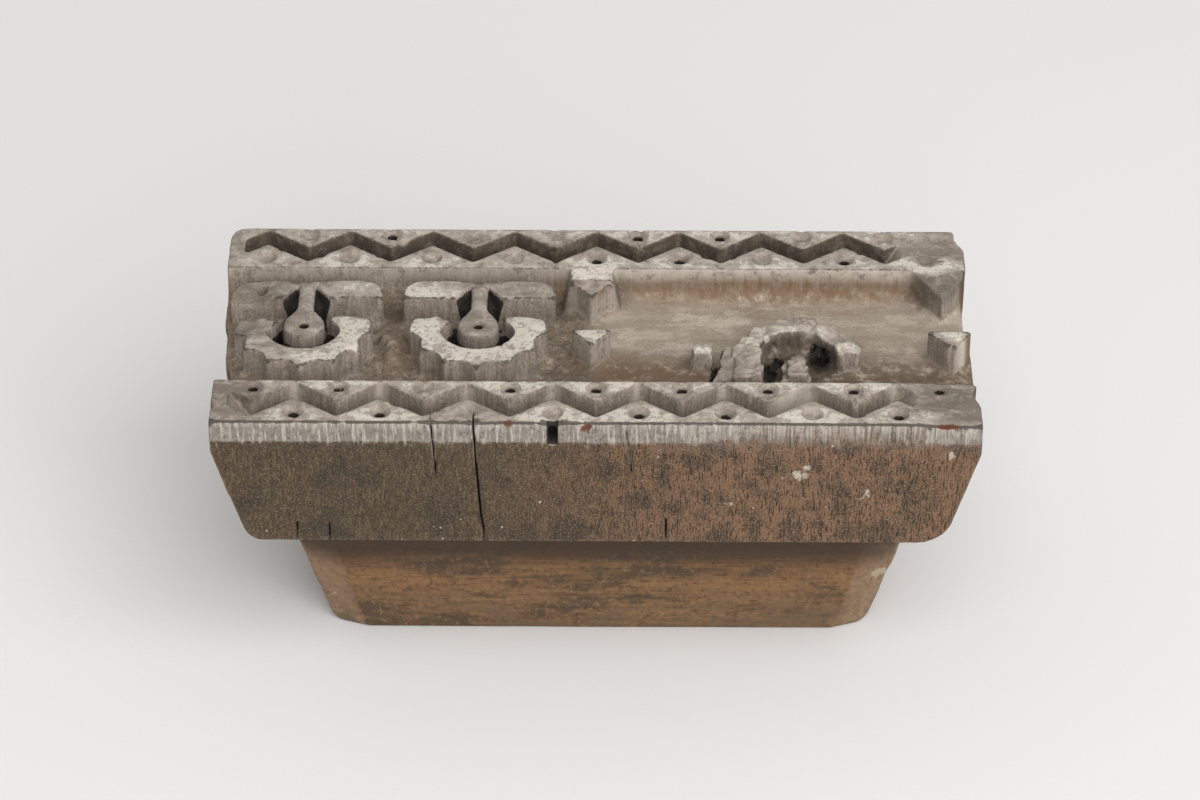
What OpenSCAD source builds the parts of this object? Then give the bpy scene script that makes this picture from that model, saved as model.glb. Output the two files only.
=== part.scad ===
// Wooden textile printing block: a carved slab pegged to a bar handle.
// It stands on the handle's underside with the printing face up.
// X runs along the border strips, Y to the rear, and the origin is the middle of the underside.

/* [Block] */
// Length of the block, along its border strips
block_len = 200; // [180:1:240]
// Depth of the block, across its border strips
block_dep = 92; // [88:1:110]
// Height of the block, from its underside to the printing face
block_h = 38.5; // [34:0.5:50]
// Height of the upright part of each end, below the printing face
end_upright_h = 10; // [6:0.5:16]
// How far each end draws in from there to the underside
end_draw_in = 8.7; // [5:0.1:12]
// Radius of the rubbed lower edge at the right end
right_edge_r = 10; // [3:0.5:12]
// Radius of the rubbed rear left corner
rear_left_r = 5; // [2:0.5:9]
// Width of the chip out of the rear right corner
chip_w = 4; // [1:0.5:7]
// Length of that chip along the end
chip_len = 8; // [3:0.5:14]

/* [Border strips] */
// Depth of the sunk ground below the printing face
ground_d = 9.5; // [7:0.5:14]
// Width of each border strip
strip_w = 19.4; // [18.5:0.1:22]
// Pitch of the zigzag
zig_pitch = 22.35; // [16:0.05:30]
// Plain margin between a strip's front edge and the zigzag
zig_margin = 3.2; // [2:0.1:4]
// Rise of the zigzag from a valley to a peak
zig_rise = 8.4; // [6:0.1:9]
// Width of the zigzag groove across the strip
zig_w = 6.6; // [4:0.1:7]
// Depth of the zigzag groove
zig_d = 7.5; // [4:0.5:9]
// Plain length of a strip at its left end
zig_left_gap = 4.5; // [2:0.5:12]
// Worn plain length of a strip at its right end
zig_right_gap = 15; // [2:0.5:20]

/* [Drilled dots] */
// Diameter of a drilled dot
dot_d = 2.4; // [1.5:0.1:3.2]
// Depth of a drilled dot
dot_deep = 7.5; // [4:0.5:12]
// Diameter of the rubbed mouth of a dot
dot_mouth_d = 5.6; // [4:0.1:6.4]
// Depth of that mouth
dot_mouth_h = 1.8; // [1:0.1:3]
// Distance of a row of dots from its edge of the strip
dot_inset = 4.9; // [4:0.1:5.4]
// Least distance of a dot from the block's end
dot_end_gap = 9; // [6:0.5:12]
// Distance of the dot on the first motif's left leaf from the stem's middle line
leaf_dot_x = 12.2; // [11:0.1:14]
// Distance of that dot from the horseshoe's middle
leaf_dot_y = 18.8; // [17:0.1:20]

/* [Flower motif] */
// Distance of the first motif's middle from the left end
motif_x = 22.3; // [21.8:0.1:24]
// Pitch of the motifs along the field
motif_pitch = 46.3; // [44:0.1:48]
// How far the motifs sit in front of the block's middle line
motif_set = 2; // [0:0.1:3]
// Radius of the horseshoe at the tips of its teeth
shoe_tip_r = 18.8; // [17:0.1:20]
// Radius of the horseshoe at the roots of its teeth
shoe_root_r = 15.8; // [14:0.1:16.6]
// Radius of the horseshoe's inside
shoe_in_r = 9.8; // [9:0.1:12]
// Angle between two teeth
shoe_tooth_a = 28.5; // [24:0.5:29.5]
// Radius of the bulb inside the horseshoe
bulb_r = 5.7; // [4.5:0.1:6.5]
// How far the bulb sits in front of the horseshoe's middle
bulb_set = 1; // [0:0.1:2]
// Width of the stem behind the bulb
stem_w = 4.6; // [3:0.1:6]
// Distance of the stem's end from the horseshoe's middle
stem_end = 19.5; // [16:0.1:22]
// Distance of a leaf's inner end from the stem's middle line
leaf_in = 4.8; // [4.2:0.1:7]
// Distance of a leaf's outer end from the stem's middle line
leaf_out = 20.6; // [19:0.1:21.6]
// Distance of a leaf's front edge from the horseshoe's middle
leaf_front = 13.9; // [12:0.1:15]
// Distance of a leaf's rear edge from the horseshoe's middle
leaf_rear = 22.6; // [21.5:0.1:24]
// Slant of a leaf's inner end
leaf_slant = 4.6; // [1:0.1:6]
// Radius of a leaf's outer rear corner
leaf_r = 6; // [3:0.1:7]

/* [Prisms and worn remains] */
// Base of the middle rear prism
mid_rear_w = 13.2; // [10:0.1:16]
// Length of the middle rear prism
mid_rear_len = 9.3; // [7:0.1:12]
// Base of the smaller prisms in the field
small_w = 12; // [9:0.1:14]
// Length of the smaller prisms in the field
small_len = 7.8; // [6:0.1:10]
// Base of the prism that grows out of the rear strip
root_w = 16; // [12:0.1:18]
// Length of the prism that grows out of the rear strip
root_len = 12; // [9:0.1:15]
// Place along X of the middle prisms
mid_x = -1.3; // [-3:0.1:2]
// Distance of the right prisms from the right end
right_gap = 7; // [5:0.1:9]
// Distance of the middle rear prism from the rear strip
mid_rear_gap = 5; // [2:0.1:6]
// How far the small prisms sit in front of the block's middle line
small_set = 2.5; // [0:0.1:5]
// Distance of the worn motif from the right end
worn_x = 47; // [44:0.1:52]
// How far the worn motif sits in front of the block's middle line
worn_set = 9.5; // [7:0.1:10]
// Outer radius of the worn arch
arch_out_r = 16.8; // [15:0.1:18]
// Inner radius of the worn arch
arch_in_r = 11; // [9.5:0.1:13]
// Length of the worn arch's left leg
arch_leg = 8.8; // [4:0.1:12]
// Width of the worn core inside the arch
core_w = 4.8; // [3:0.1:8]
// Length of the worn core
core_len = 10; // [6:0.1:13]
// Width of the stump to the left of the worn arch
stump_w = 5.4; // [3:0.1:8]
// Length of that stump
stump_len = 4.4; // [3:0.1:8]
// Distance of that stump from the worn motif
stump_gap = 25; // [22:0.1:30]
// How far the remains are worn below the printing face
worn_d = 3; // [1:0.1:5]

/* [Handle] */
// Height of the handle, below the block
handle_h = 45.5; // [38:0.5:56]
// Width of the handle, front to rear
handle_w = 48; // [42:0.5:60]
// Length of the handle where it meets the block
handle_top_len = 176; // [164:1:180]
// Length that the handle's ends would have at its underside
handle_low_len = 145.5; // [132:0.5:154]
// How far the handle sits to the right of the block's middle
handle_shift = 1.2; // [-2:0.1:2]
// Radius of the lower corners of the handle's ends
handle_end_r = 5; // [2:0.5:12]
// Length of the chamfer on the upright corners, at the block
chamfer_top_len = 13; // [8:0.5:16]
// Length of that chamfer at the underside
chamfer_low_len = 10.3; // [6:0.1:12]
// How far the chamfer falls back, at the block
chamfer_fall = 4.5; // [2:0.1:9]

/* [Pegs and wedges] */
// Diameter of a peg
peg_d = 9; // [7:0.5:12]
// How far a peg reaches into the block
peg_reach = 20; // [14:0.5:24]
// Distance along X between two pegs
peg_pitch = 32; // [26:0.5:36]
// Distance of the pegs from the handle's middle line, to front and rear in turn
peg_stagger = 8; // [4:0.5:12]
// How far the pegs' outer ends lie inside the underside
peg_sink = 0.5; // [0.3:0.1:1.5]
// Clearance round a peg in its bore
peg_gap = 0.1; // [0.05:0.01:0.2]
// Room beyond a peg's inner end
socket_room = 0.3; // [0.1:0.1:2]
// Thickness of a wedge at its outer end
wedge_out_t = 2.2; // [1.6:0.1:3]
// Thickness of a wedge at its inner end
wedge_in_t = 0.8; // [0.4:0.1:1.4]
// Length of a wedge
wedge_len = 13; // [8:0.5:18]
// Clearance of a wedge in its split
wedge_gap = 0.05; // [0.02:0.01:0.1]

/* [Hidden] */
$fn = 64;
peg_count = 4;
motif_count = 2;
// Half steps between tip and root on either side of the horseshoe's front tooth
shoe_half_steps = 7;

// Extra length of a cut beyond the surface that it opens
over = 1;
top_z = handle_h + block_h;
ground_z = top_z - ground_d;
half_len = block_len / 2;
half_dep = block_dep / 2;
field_half = half_dep - strip_w;

// Place along X of the front dot that has broken out, the first to the left of the middle
burst_x = -zig_pitch / 2;

// Angle of a block end's drawn-in face, and of a handle end, from upright
end_a = atan(end_draw_in / (block_h - end_upright_h));
handle_end_a = atan((handle_top_len - handle_low_len) / 2 / handle_h);

// Distance of a rounded corner's tangent points from the corner, between a level
// underside and a face that leans out by the angle a
function corner_reach(r, a) = r * tan(45 - a / 2);

// Triangle wave of the zigzag: 0 in a valley, zig_rise on a peak
function zig_wave(x) = 2 * zig_rise * abs(x / zig_pitch - round(x / zig_pitch));

// Places along X where the zigzag turns or ends, with a valley at phase
function zig_turns(phase) = let (
    half = zig_pitch / 2,
    first = -half_len + zig_left_gap,
    last = half_len - zig_right_gap
) [
    first,
    for (k = [ceil((first - phase) / half) : floor((last - phase) / half)])
        if (phase + k * half > first && phase + k * half < last) phase + k * half,
    last
];

// Middle of the horseshoe of motif number k
function motif_place(k) = [-half_len + motif_x + k * motif_pitch, -motif_set];

// Teeth of the horseshoe: an even number of half steps is a tip, an odd one a root
function shoe_point(k) =
    (k % 2 == 0 ? shoe_tip_r : shoe_root_r)
    * [sin(k * shoe_tooth_a / 2), -cos(k * shoe_tooth_a / 2)];

// Zigzag groove of a strip whose front edge lies on y = 0, as an outline
module zigzag_outline(phase) {
    xs = zig_turns(phase);
    front = [for (x = xs) [x, zig_margin + zig_wave(x - phase)]];
    rear = [for (i = [len(xs) - 1 : -1 : 0]) front[i] + [0, zig_w]];
    polygon(concat(front, rear));
}

// One drilled dot with its rubbed mouth, opening upwards at the origin
module dot() {
    translate([0, 0, -dot_deep]) cylinder(d = dot_d, h = dot_deep + over);
    translate([0, 0, -dot_mouth_h]) cylinder(d1 = dot_d, d2 = dot_mouth_d, h = dot_mouth_h);
}

// Dots of a strip, one in each triangle on either side of the zigzag
module strip_dots(phase) {
    reach = half_len - dot_end_gap;
    half = zig_pitch / 2;
    for (k = [ceil((-reach - phase) / half) : floor((reach - phase) / half)])
        translate([phase + k * half, k % 2 == 0 ? strip_w - dot_inset : dot_inset, 0]) dot();
}

// Cuts of one border strip, with its front edge on y = 0 and the printing face on z = 0
module strip_cuts(phase) {
    translate([0, 0, -zig_d]) linear_extrude(zig_d + over) zigzag_outline(phase);
    strip_dots(phase);
}

// Horseshoe, open to the rear, with teeth round its outside
module horseshoe_outline() {
    difference() {
        polygon(concat([[0, 0]], [for (k = [-shoe_half_steps : shoe_half_steps]) shoe_point(k)]));
        circle(r = shoe_in_r);
    }
}

// Right leaf of a motif
module leaf_outline() {
    polygon([
        [leaf_in + leaf_slant, leaf_front],
        [leaf_out, leaf_front],
        [leaf_out, leaf_rear - leaf_r],
        [leaf_out - leaf_r, leaf_rear],
        [leaf_in, leaf_rear]
    ]);
    translate([leaf_out - leaf_r, leaf_rear - leaf_r]) intersection() {
        circle(r = leaf_r);
        square(leaf_r);
    }
}

// Flower motif round the middle of its horseshoe
module motif_outline() {
    horseshoe_outline();
    translate([0, -bulb_set]) circle(r = bulb_r);
    translate([-stem_w / 2, -bulb_set]) square([stem_w, stem_end + bulb_set]);
    leaf_outline();
    mirror([1, 0]) leaf_outline();
}

// Triangle with its base on y = 0, pointing to the front
module prism_outline(w, l) {
    polygon([[-w / 2, 0], [w / 2, 0], [0, -l]]);
}

// Remains of the worn motif round the middle of its arch
module worn_outline() {
    difference() {
        union() {
            intersection() {
                circle(r = arch_out_r);
                translate([-arch_out_r, 0]) square([2 * arch_out_r, arch_out_r]);
            }
            translate([-arch_out_r, -arch_leg]) square([arch_out_r - arch_in_r, arch_leg + over]);
        }
        circle(r = arch_in_r);
    }
    translate([-core_w / 2, -core_len]) square([core_w, core_len]);
    translate([-stump_gap - stump_w / 2, 0]) square([stump_w, stump_len]);
}

// Everything in the field that still reaches the printing face
module field_outline() {
    for (k = [0 : motif_count - 1]) translate(motif_place(k)) motif_outline();
    translate([mid_x, field_half - mid_rear_gap]) prism_outline(mid_rear_w, mid_rear_len);
    translate([mid_x, -small_set]) prism_outline(small_w, small_len);
    translate([half_len - right_gap, -small_set]) prism_outline(small_w, small_len);
    translate([half_len - right_gap, field_half]) prism_outline(root_w, root_len);
}

// Side view of the block: upright ends that draw in below, the right one rubbed round
module block_profile() {
    low_x = half_len - end_draw_in;
    reach = corner_reach(right_edge_r, end_a);
    polygon([
        [-low_x, handle_h],
        [low_x - reach, handle_h],
        [low_x + reach * sin(end_a), handle_h + reach * cos(end_a)],
        [half_len, top_z - end_upright_h],
        [half_len, top_z],
        [-half_len, top_z],
        [-half_len, top_z - end_upright_h]
    ]);
    translate([low_x - reach, handle_h + right_edge_r]) circle(r = right_edge_r);
}

// Blank of the block, before carving
module block_blank() {
    translate([0, half_dep, 0]) rotate([90, 0, 0]) linear_extrude(block_dep) block_profile();
}

// Ground slab, border strips and field, full height from the underside
module block_relief() {
    width = block_len + 2 * over;
    translate([-half_len - over, -half_dep - over, handle_h - over])
        cube([width, block_dep + 2 * over, block_h - ground_d + over]);
    for (y = [-half_dep, half_dep - strip_w])
        translate([-half_len - over, y, handle_h]) cube([width, strip_w, block_h + over]);
    translate([0, 0, handle_h]) linear_extrude(block_h + over) field_outline();
    translate([half_len - worn_x, -worn_set, handle_h])
        linear_extrude(block_h - worn_d) worn_outline();
}

// Cuts at the two rear corners: one rubbed round, one chipped
module rear_corner_cuts() {
    depth = block_h + 2 * over;
    translate([-half_len, half_dep, handle_h - over]) linear_extrude(depth) difference() {
        translate([-over, -rear_left_r]) square([rear_left_r + over, rear_left_r + over]);
        translate([rear_left_r, -rear_left_r]) circle(r = rear_left_r);
    }
    translate([half_len, half_dep, ground_z]) linear_extrude(ground_d + over)
        polygon([[-chip_w, 0], [-chip_w, over], [over, over], [over, -chip_len], [0, -chip_len]]);
}

// Place of peg number i, on the underside
function peg_place(i) = [
    handle_shift + (i - (peg_count - 1) / 2) * peg_pitch,
    (i % 2 == 0 ? 1 : -1) * peg_stagger,
    0
];

// Bores for the pegs, through the handle and blind in the block
module peg_bores() {
    for (i = [0 : peg_count - 1])
        translate(peg_place(i) - [0, 0, over])
            cylinder(d = peg_d + 2 * peg_gap, h = over + handle_h + peg_reach + socket_room);
}

module printing_block() {
    color("#6f5d4e") difference() {
        intersection() {
            block_blank();
            block_relief();
        }
        translate([0, -half_dep, top_z]) strip_cuts(0);
        translate([0, half_dep - strip_w, top_z]) strip_cuts(zig_pitch / 2);
        for (k = [0 : motif_count - 1])
            translate([0, -bulb_set, top_z]) translate(motif_place(k)) dot();
        translate([-leaf_dot_x, leaf_dot_y, top_z]) translate(motif_place(0)) dot();
        translate([burst_x - dot_d / 2, -half_dep - over, top_z - dot_deep])
            cube([dot_d, dot_inset + over, dot_deep + over]);
        rear_corner_cuts();
        peg_bores();
    }
}

// Side view of the handle: ends that draw in to rounded lower corners
module handle_profile() {
    low_x = handle_low_len / 2;
    reach = corner_reach(handle_end_r, handle_end_a);
    polygon([
        [-low_x + reach, 0],
        [low_x - reach, 0],
        [low_x + reach * sin(handle_end_a), reach * cos(handle_end_a)],
        [handle_top_len / 2, handle_h],
        [-handle_top_len / 2, handle_h],
        [-low_x - reach * sin(handle_end_a), reach * cos(handle_end_a)]
    ]);
    for (side = [-1, 1])
        translate([side * (low_x - reach), handle_end_r]) circle(r = handle_end_r);
}

// Cut that leaves the chamfer on the right front corner, leaning in as the end does
module chamfer_cut() {
    ridge_run = (handle_top_len - handle_low_len) / 2 - (chamfer_top_len - chamfer_low_len);
    face_a = atan(chamfer_top_len / chamfer_fall);
    lean_a = atan(ridge_run * cos(face_a) / handle_h);
    size = handle_top_len;
    translate([handle_top_len / 2 - chamfer_top_len, -handle_w / 2, handle_h])
        rotate([0, lean_a, -face_a])
            translate([0, -size / 2, -size / 2]) cube(size);
}

module handle() {
    color("#7d5f41") difference() {
        translate([handle_shift, 0, 0]) difference() {
            translate([0, handle_w / 2, 0])
                rotate([90, 0, 0]) linear_extrude(handle_w) handle_profile();
            for (mx = [0, 1], my = [0, 1])
                mirror([mx, 0, 0]) mirror([0, my, 0]) chamfer_cut();
        }
        peg_bores();
    }
}

// Wedge blank, tapering upwards from a peg's outer end and thickened by gap on each side
module wedge_blank(gap) {
    translate([0, peg_d, peg_sink]) rotate([90, 0, 0]) linear_extrude(2 * peg_d)
        polygon([
            [-wedge_out_t / 2 - gap, 0],
            [wedge_out_t / 2 + gap, 0],
            [wedge_in_t / 2 + gap, wedge_len + gap],
            [-wedge_in_t / 2 - gap, wedge_len + gap]
        ]);
}

// Peg number i, split across the handle's grain at its outer end
module peg(i) {
    color("#a5855c") translate(peg_place(i)) difference() {
        translate([0, 0, peg_sink]) cylinder(d = peg_d, h = handle_h + peg_reach - peg_sink);
        wedge_blank(wedge_gap);
    }
}

// Wedge of peg number i
module wedge(i) {
    color("#5b4330") translate(peg_place(i)) intersection() {
        cylinder(d = peg_d, h = handle_h);
        wedge_blank(0);
    }
}

printing_block();
handle();
for (i = [0 : peg_count - 1]) {
    peg(i);
    wedge(i);
}
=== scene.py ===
"""Looks of a carved wooden textile printing block on its bar handle.

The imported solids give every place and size. This script wears, chips and cracks copies of the two large
ones, gives every surface its finish, and sets the object on a pale paper floor under soft light.
"""

import logging
import math
from dataclasses import dataclass
from enum import Enum
from functools import reduce
from typing import Any, ClassVar

import bmesh
import bpy
import numpy as np
import openvdb
from mathutils import Matrix, Vector

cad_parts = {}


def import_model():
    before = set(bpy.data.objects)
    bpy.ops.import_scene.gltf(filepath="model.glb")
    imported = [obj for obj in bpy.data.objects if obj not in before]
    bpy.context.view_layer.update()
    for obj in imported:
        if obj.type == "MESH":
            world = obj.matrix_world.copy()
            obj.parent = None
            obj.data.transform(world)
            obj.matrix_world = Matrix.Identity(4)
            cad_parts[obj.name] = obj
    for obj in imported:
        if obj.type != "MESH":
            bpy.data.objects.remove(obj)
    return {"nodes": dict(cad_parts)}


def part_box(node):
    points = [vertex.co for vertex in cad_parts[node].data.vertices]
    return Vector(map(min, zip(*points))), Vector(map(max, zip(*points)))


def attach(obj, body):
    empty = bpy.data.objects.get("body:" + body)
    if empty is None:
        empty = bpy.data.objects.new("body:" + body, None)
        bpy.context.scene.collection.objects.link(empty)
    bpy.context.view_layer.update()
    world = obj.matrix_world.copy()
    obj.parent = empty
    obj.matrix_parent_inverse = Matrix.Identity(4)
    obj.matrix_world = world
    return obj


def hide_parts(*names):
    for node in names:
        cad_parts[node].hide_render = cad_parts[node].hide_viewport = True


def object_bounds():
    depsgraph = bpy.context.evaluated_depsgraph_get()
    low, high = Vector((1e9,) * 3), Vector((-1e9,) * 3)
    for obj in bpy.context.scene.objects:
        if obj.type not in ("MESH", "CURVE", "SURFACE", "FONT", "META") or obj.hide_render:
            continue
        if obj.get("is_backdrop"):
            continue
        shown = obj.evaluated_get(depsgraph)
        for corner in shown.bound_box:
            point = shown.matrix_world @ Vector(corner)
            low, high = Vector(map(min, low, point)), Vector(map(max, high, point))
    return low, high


frame: dict[str, Any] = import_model()

LOG = logging.getLogger("printing_block")
MM = 0.001
BODY = "root"
# Distance that lies inside any shape that is carved here, in millimetres.
INSIDE = -9.0

Pair = tuple[float, float]
Triple = tuple[float, float, float]
Row = tuple[float, ...]


class Grain(Enum):
    """Number of the axis that wood fibres run along."""

    LENGTHWISE = 0
    UPRIGHT = 2

    def streak(self, width: float, run: float) -> Triple:
        """Size of a streak of a given width that runs along the fibres."""
        return tuple(run if axis == self.value else width for axis in range(3))


class Cover(Enum):
    """How a coat's pattern works on its painted mask."""

    THIN = "the mask fades the pattern"
    BREAK = "the pattern breaks the edge of the mask"


def linear(code: str) -> tuple[float, float, float, float]:
    """Turns an sRGB hex colour into linear light.

    Args:
        code: Colour such as "#a08060".

    Returns:
        Linear red, green and blue, with full opacity.
    """
    parts = [int(code[i:i + 2], 16) / 255 for i in (1, 3, 5)]
    red, green, blue = [p / 12.92 if p <= 0.04045 else ((p + 0.055) / 1.055) ** 2.4 for p in parts]
    return red, green, blue, 1.0


def add_node(tree: bpy.types.NodeTree, kind: str, settings: dict[str, Any], links: dict[Any, Any],
             output: int | str = 0) -> Any:
    """Adds one node with its settings, and fills or links its inputs.

    Args:
        tree: Tree that takes the node.
        kind: Blender's type name of the node.
        settings: Properties to set on the node.
        links: Input name or number to a socket to link from, or to a plain value.
        output: Name or number of the output to give back.

    Returns:
        That output of the new node, or nothing if the node has no output.
    """
    node = tree.nodes.new(kind)
    for key, value in settings.items():
        setattr(node, key, value)
    for key, value in links.items():
        if isinstance(value, bpy.types.NodeSocket):
            tree.links.new(value, node.inputs[key])
        else:
            node.inputs[key].default_value = value
    return node.outputs[output] if node.outputs else None


def smooth(low: float, high: float, value: np.ndarray) -> np.ndarray:
    """Smooth step from 0 at low to 1 at high.

    Args:
        low: Value that gives 0.
        high: Value that gives 1, which may lie below low.
        value: Values to map.

    Returns:
        The mapped values.
    """
    t = np.clip((value - low) / (high - low), 0, 1)
    return t * t * (3 - 2 * t)


def meet(*shapes: np.ndarray) -> np.ndarray:
    """Field of what lies inside all of some shapes."""
    return reduce(np.maximum, shapes)


def bites(along: np.ndarray, rows: tuple[Row, ...]) -> np.ndarray:
    """Joint depth of flat-bottomed bites along a line.

    Args:
        along: Places on the line.
        rows: Middle, half width and depth of each bite.

    Returns:
        Depth at each place.
    """
    return sum(depth * np.exp(-((along - middle) / half) ** 4) for middle, half, depth in rows)


@dataclass(frozen=True)
class Patch:
    """Soft spot on a surface, in millimetres in the part's frame."""

    place: Triple
    reach: Triple
    strength: float = 1.0

    def weight(self, points: np.ndarray) -> np.ndarray:
        """Weight of the patch at each point, from 0 to its strength."""
        away = (points - np.array(self.place)) / np.array(self.reach)
        return self.strength * np.exp(-0.5 * (away ** 2).sum(1) ** 2)


@dataclass(frozen=True)
class Scratch:
    """Thin straight mark on a surface, in millimetres in the part's frame."""

    start: Triple
    end: Triple
    half_width: float
    strength: float = 1.0

    def weight(self, points: np.ndarray) -> np.ndarray:
        """Weight of the mark at each point.

        Args:
            points: Points, in millimetres.

        Returns:
            Weights from 0 to the mark's strength.
        """
        start, along = np.array(self.start), np.array(self.end) - np.array(self.start)
        share = np.clip((points - start) @ along / (along @ along), 0, 1)
        away = np.linalg.norm(points - start - share[:, None] * along, axis=1)
        return self.strength * smooth(2 * self.half_width, 0, away)


def cover(points: np.ndarray, marks: list[Patch | Scratch]) -> np.ndarray:
    """Joint cover of soft marks.

    Args:
        points: Points, in millimetres.
        marks: Marks to lay over each other.

    Returns:
        Cover at each point, from 0 to 1.
    """
    bare = np.ones(len(points))
    for mark in marks:
        bare *= 1 - np.clip(mark.weight(points), 0, 1)
    return 1 - bare


@dataclass(frozen=True)
class Rough:
    """Seeded smooth noise for carving, with lumps of a size and a height in millimetres."""

    size: Triple
    seed: int
    height: float = 1.0


@dataclass
class CarvingField:
    """Distance to a solid's surface on a regular grid, in millimetres and negative inside."""

    low: np.ndarray
    step: float
    values: np.ndarray
    bell_reach: ClassVar[float] = 2.6

    @classmethod
    def of_node(cls, name: str, step: float, room: int = 6, band: int = 10) -> "CarvingField":
        """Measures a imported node.

        Args:
            name: Node to measure.
            step: Size of a grid cell.
            room: Empty cells to leave around the solid.
            band: Cells on either side of the surface that hold true distances.

        Returns:
            The node's field.
        """
        mesh = frame["nodes"][name].data
        mesh.calc_loop_triangles()
        points = np.zeros(len(mesh.vertices) * 3, np.float32)
        mesh.vertices.foreach_get("co", points)
        points = points.reshape(-1, 3) / MM
        corners = np.zeros(len(mesh.loop_triangles) * 3, np.int32)
        mesh.loop_triangles.foreach_get("vertices", corners)
        grid = openvdb.FloatGrid.createLevelSetFromPolygons(
            points, triangles=corners.reshape(-1, 3).astype(np.uint32),
            transform=openvdb.createLinearTransform(step), halfWidth=band)
        first = np.floor(points.min(0) / step).astype(int) - room
        last = np.ceil(points.max(0) / step).astype(int) + room
        values = np.full(last - first, grid.background, np.float32)
        grid.copyToArray(values, ijk=tuple(int(i) for i in first))
        return cls(first * step, step, values)

    def axis(self, number: int) -> np.ndarray:
        """Coordinates of the grid along one axis, shaped to spread over the grid."""
        line = self.low[number] + self.step * np.arange(self.values.shape[number], dtype=np.float32)
        return line.reshape([-1 if i == number else 1 for i in range(3)]).astype(np.float32)

    def axes(self) -> tuple[np.ndarray, np.ndarray, np.ndarray]:
        """Coordinates of the grid along X, Y and Z."""
        return self.axis(0), self.axis(1), self.axis(2)

    def part(self, low: Triple, high: Triple) -> "CarvingField":
        """Part of the field inside a box, sharing its values with the whole.

        Args:
            low: Lowest corner of the box.
            high: Highest corner of the box.

        Returns:
            The part.
        """
        size = self.values.shape
        first = [max(0, int((low[i] - self.low[i]) / self.step)) for i in range(3)]
        last = [min(size[i], int((high[i] - self.low[i]) / self.step) + 2) for i in range(3)]
        box = tuple(slice(a, b) for a, b in zip(first, last))
        return CarvingField(self.low + self.step * np.array(first), self.step, self.values[box])

    def blurred(self, width: float, values: np.ndarray | None = None) -> np.ndarray:
        """Field blurred by a bell curve.

        Args:
            width: Standard deviation of the bell curve.
            values: Array on the same grid to blur, if not the field itself.

        Returns:
            The blurred array.
        """
        sigma = width / self.step
        reach = max(1, math.ceil(self.bell_reach * sigma))
        bell = np.exp(-0.5 * (np.arange(reach + 1, dtype=np.float32) / sigma) ** 2)
        bell /= bell[0] + 2 * bell[1:].sum()
        total = self.values if values is None else values
        for axis, count in enumerate(total.shape):
            line = np.moveaxis(total, axis, 0)
            wide = np.concatenate([np.repeat(line[:1], reach, 0), line, np.repeat(line[-1:], reach, 0)])
            blur = bell[0] * line
            for i in range(1, reach + 1):
                blur += bell[i] * (wide[reach - i:reach - i + count] + wide[reach + i:reach + i + count])
            total = np.moveaxis(blur, 0, axis)
        return np.ascontiguousarray(total)

    def noise(self, *roughs: Rough) -> np.ndarray:
        """Smooth seeded noise, summed over kinds of roughness.

        Args:
            roughs: Sizes, seeds and heights of the noise.

        Returns:
            Noise on the grid, from minus to plus the sum of the heights.
        """
        total = np.float32(0)
        for rough in roughs:
            rows = []
            for count, lump in zip(self.values.shape, rough.size):
                at = np.arange(count) * self.step / lump
                cell = at.astype(int)
                blend = smooth(0, 1, at - cell)
                matrix = np.zeros((count, cell[-1] + 2), np.float32)
                matrix[np.arange(count), cell] = 1 - blend
                matrix[np.arange(count), cell + 1] = blend
                rows.append(matrix)
            values = np.random.default_rng(rough.seed).uniform(-1, 1, [m.shape[1] for m in rows])
            values = values.astype(np.float32)
            for matrix in rows:
                values = np.tensordot(values, matrix, (0, 1))
            total = total + rough.height * values
        return total

    def keep(self, tool: np.ndarray) -> None:
        """Keeps only what lies inside a tool's shape."""
        np.maximum(self.values, tool.astype(np.float32), out=self.values)

    def cut(self, tool: np.ndarray) -> None:
        """Cuts a tool's shape away."""
        np.maximum(self.values, -tool.astype(np.float32), out=self.values)

    def fill(self, tool: np.ndarray) -> None:
        """Adds a tool's shape."""
        np.minimum(self.values, tool.astype(np.float32), out=self.values)

    def sample(self, values: np.ndarray, points: np.ndarray) -> np.ndarray:
        """Values of a grid array at points, blended between cells.

        Args:
            values: Array on the field's grid.
            points: Points, in millimetres.

        Returns:
            One value for each point.
        """
        short_of_last = 1.001
        at = np.clip((points - self.low) / self.step, 0, np.array(values.shape) - short_of_last)
        cell = at.astype(int)
        part = at - cell
        total = np.zeros(len(points))
        for corner in np.ndindex(2, 2, 2):
            share = np.prod(np.where(corner, part, 1 - part), axis=1)
            total += share * values[tuple((cell + corner).T)]
        return total

    def crowding(self, width: float, points: np.ndarray) -> np.ndarray:
        """Share of solid around points.

        Args:
            width: How far around to look.
            points: Points, in millimetres.

        Returns:
            One value for each point, from 0 in the open to 1 deep inside.
        """
        filled = np.clip(0.5 - self.values / self.step, 0, 1)
        return self.sample(self.blurred(width, filled), points)

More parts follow.
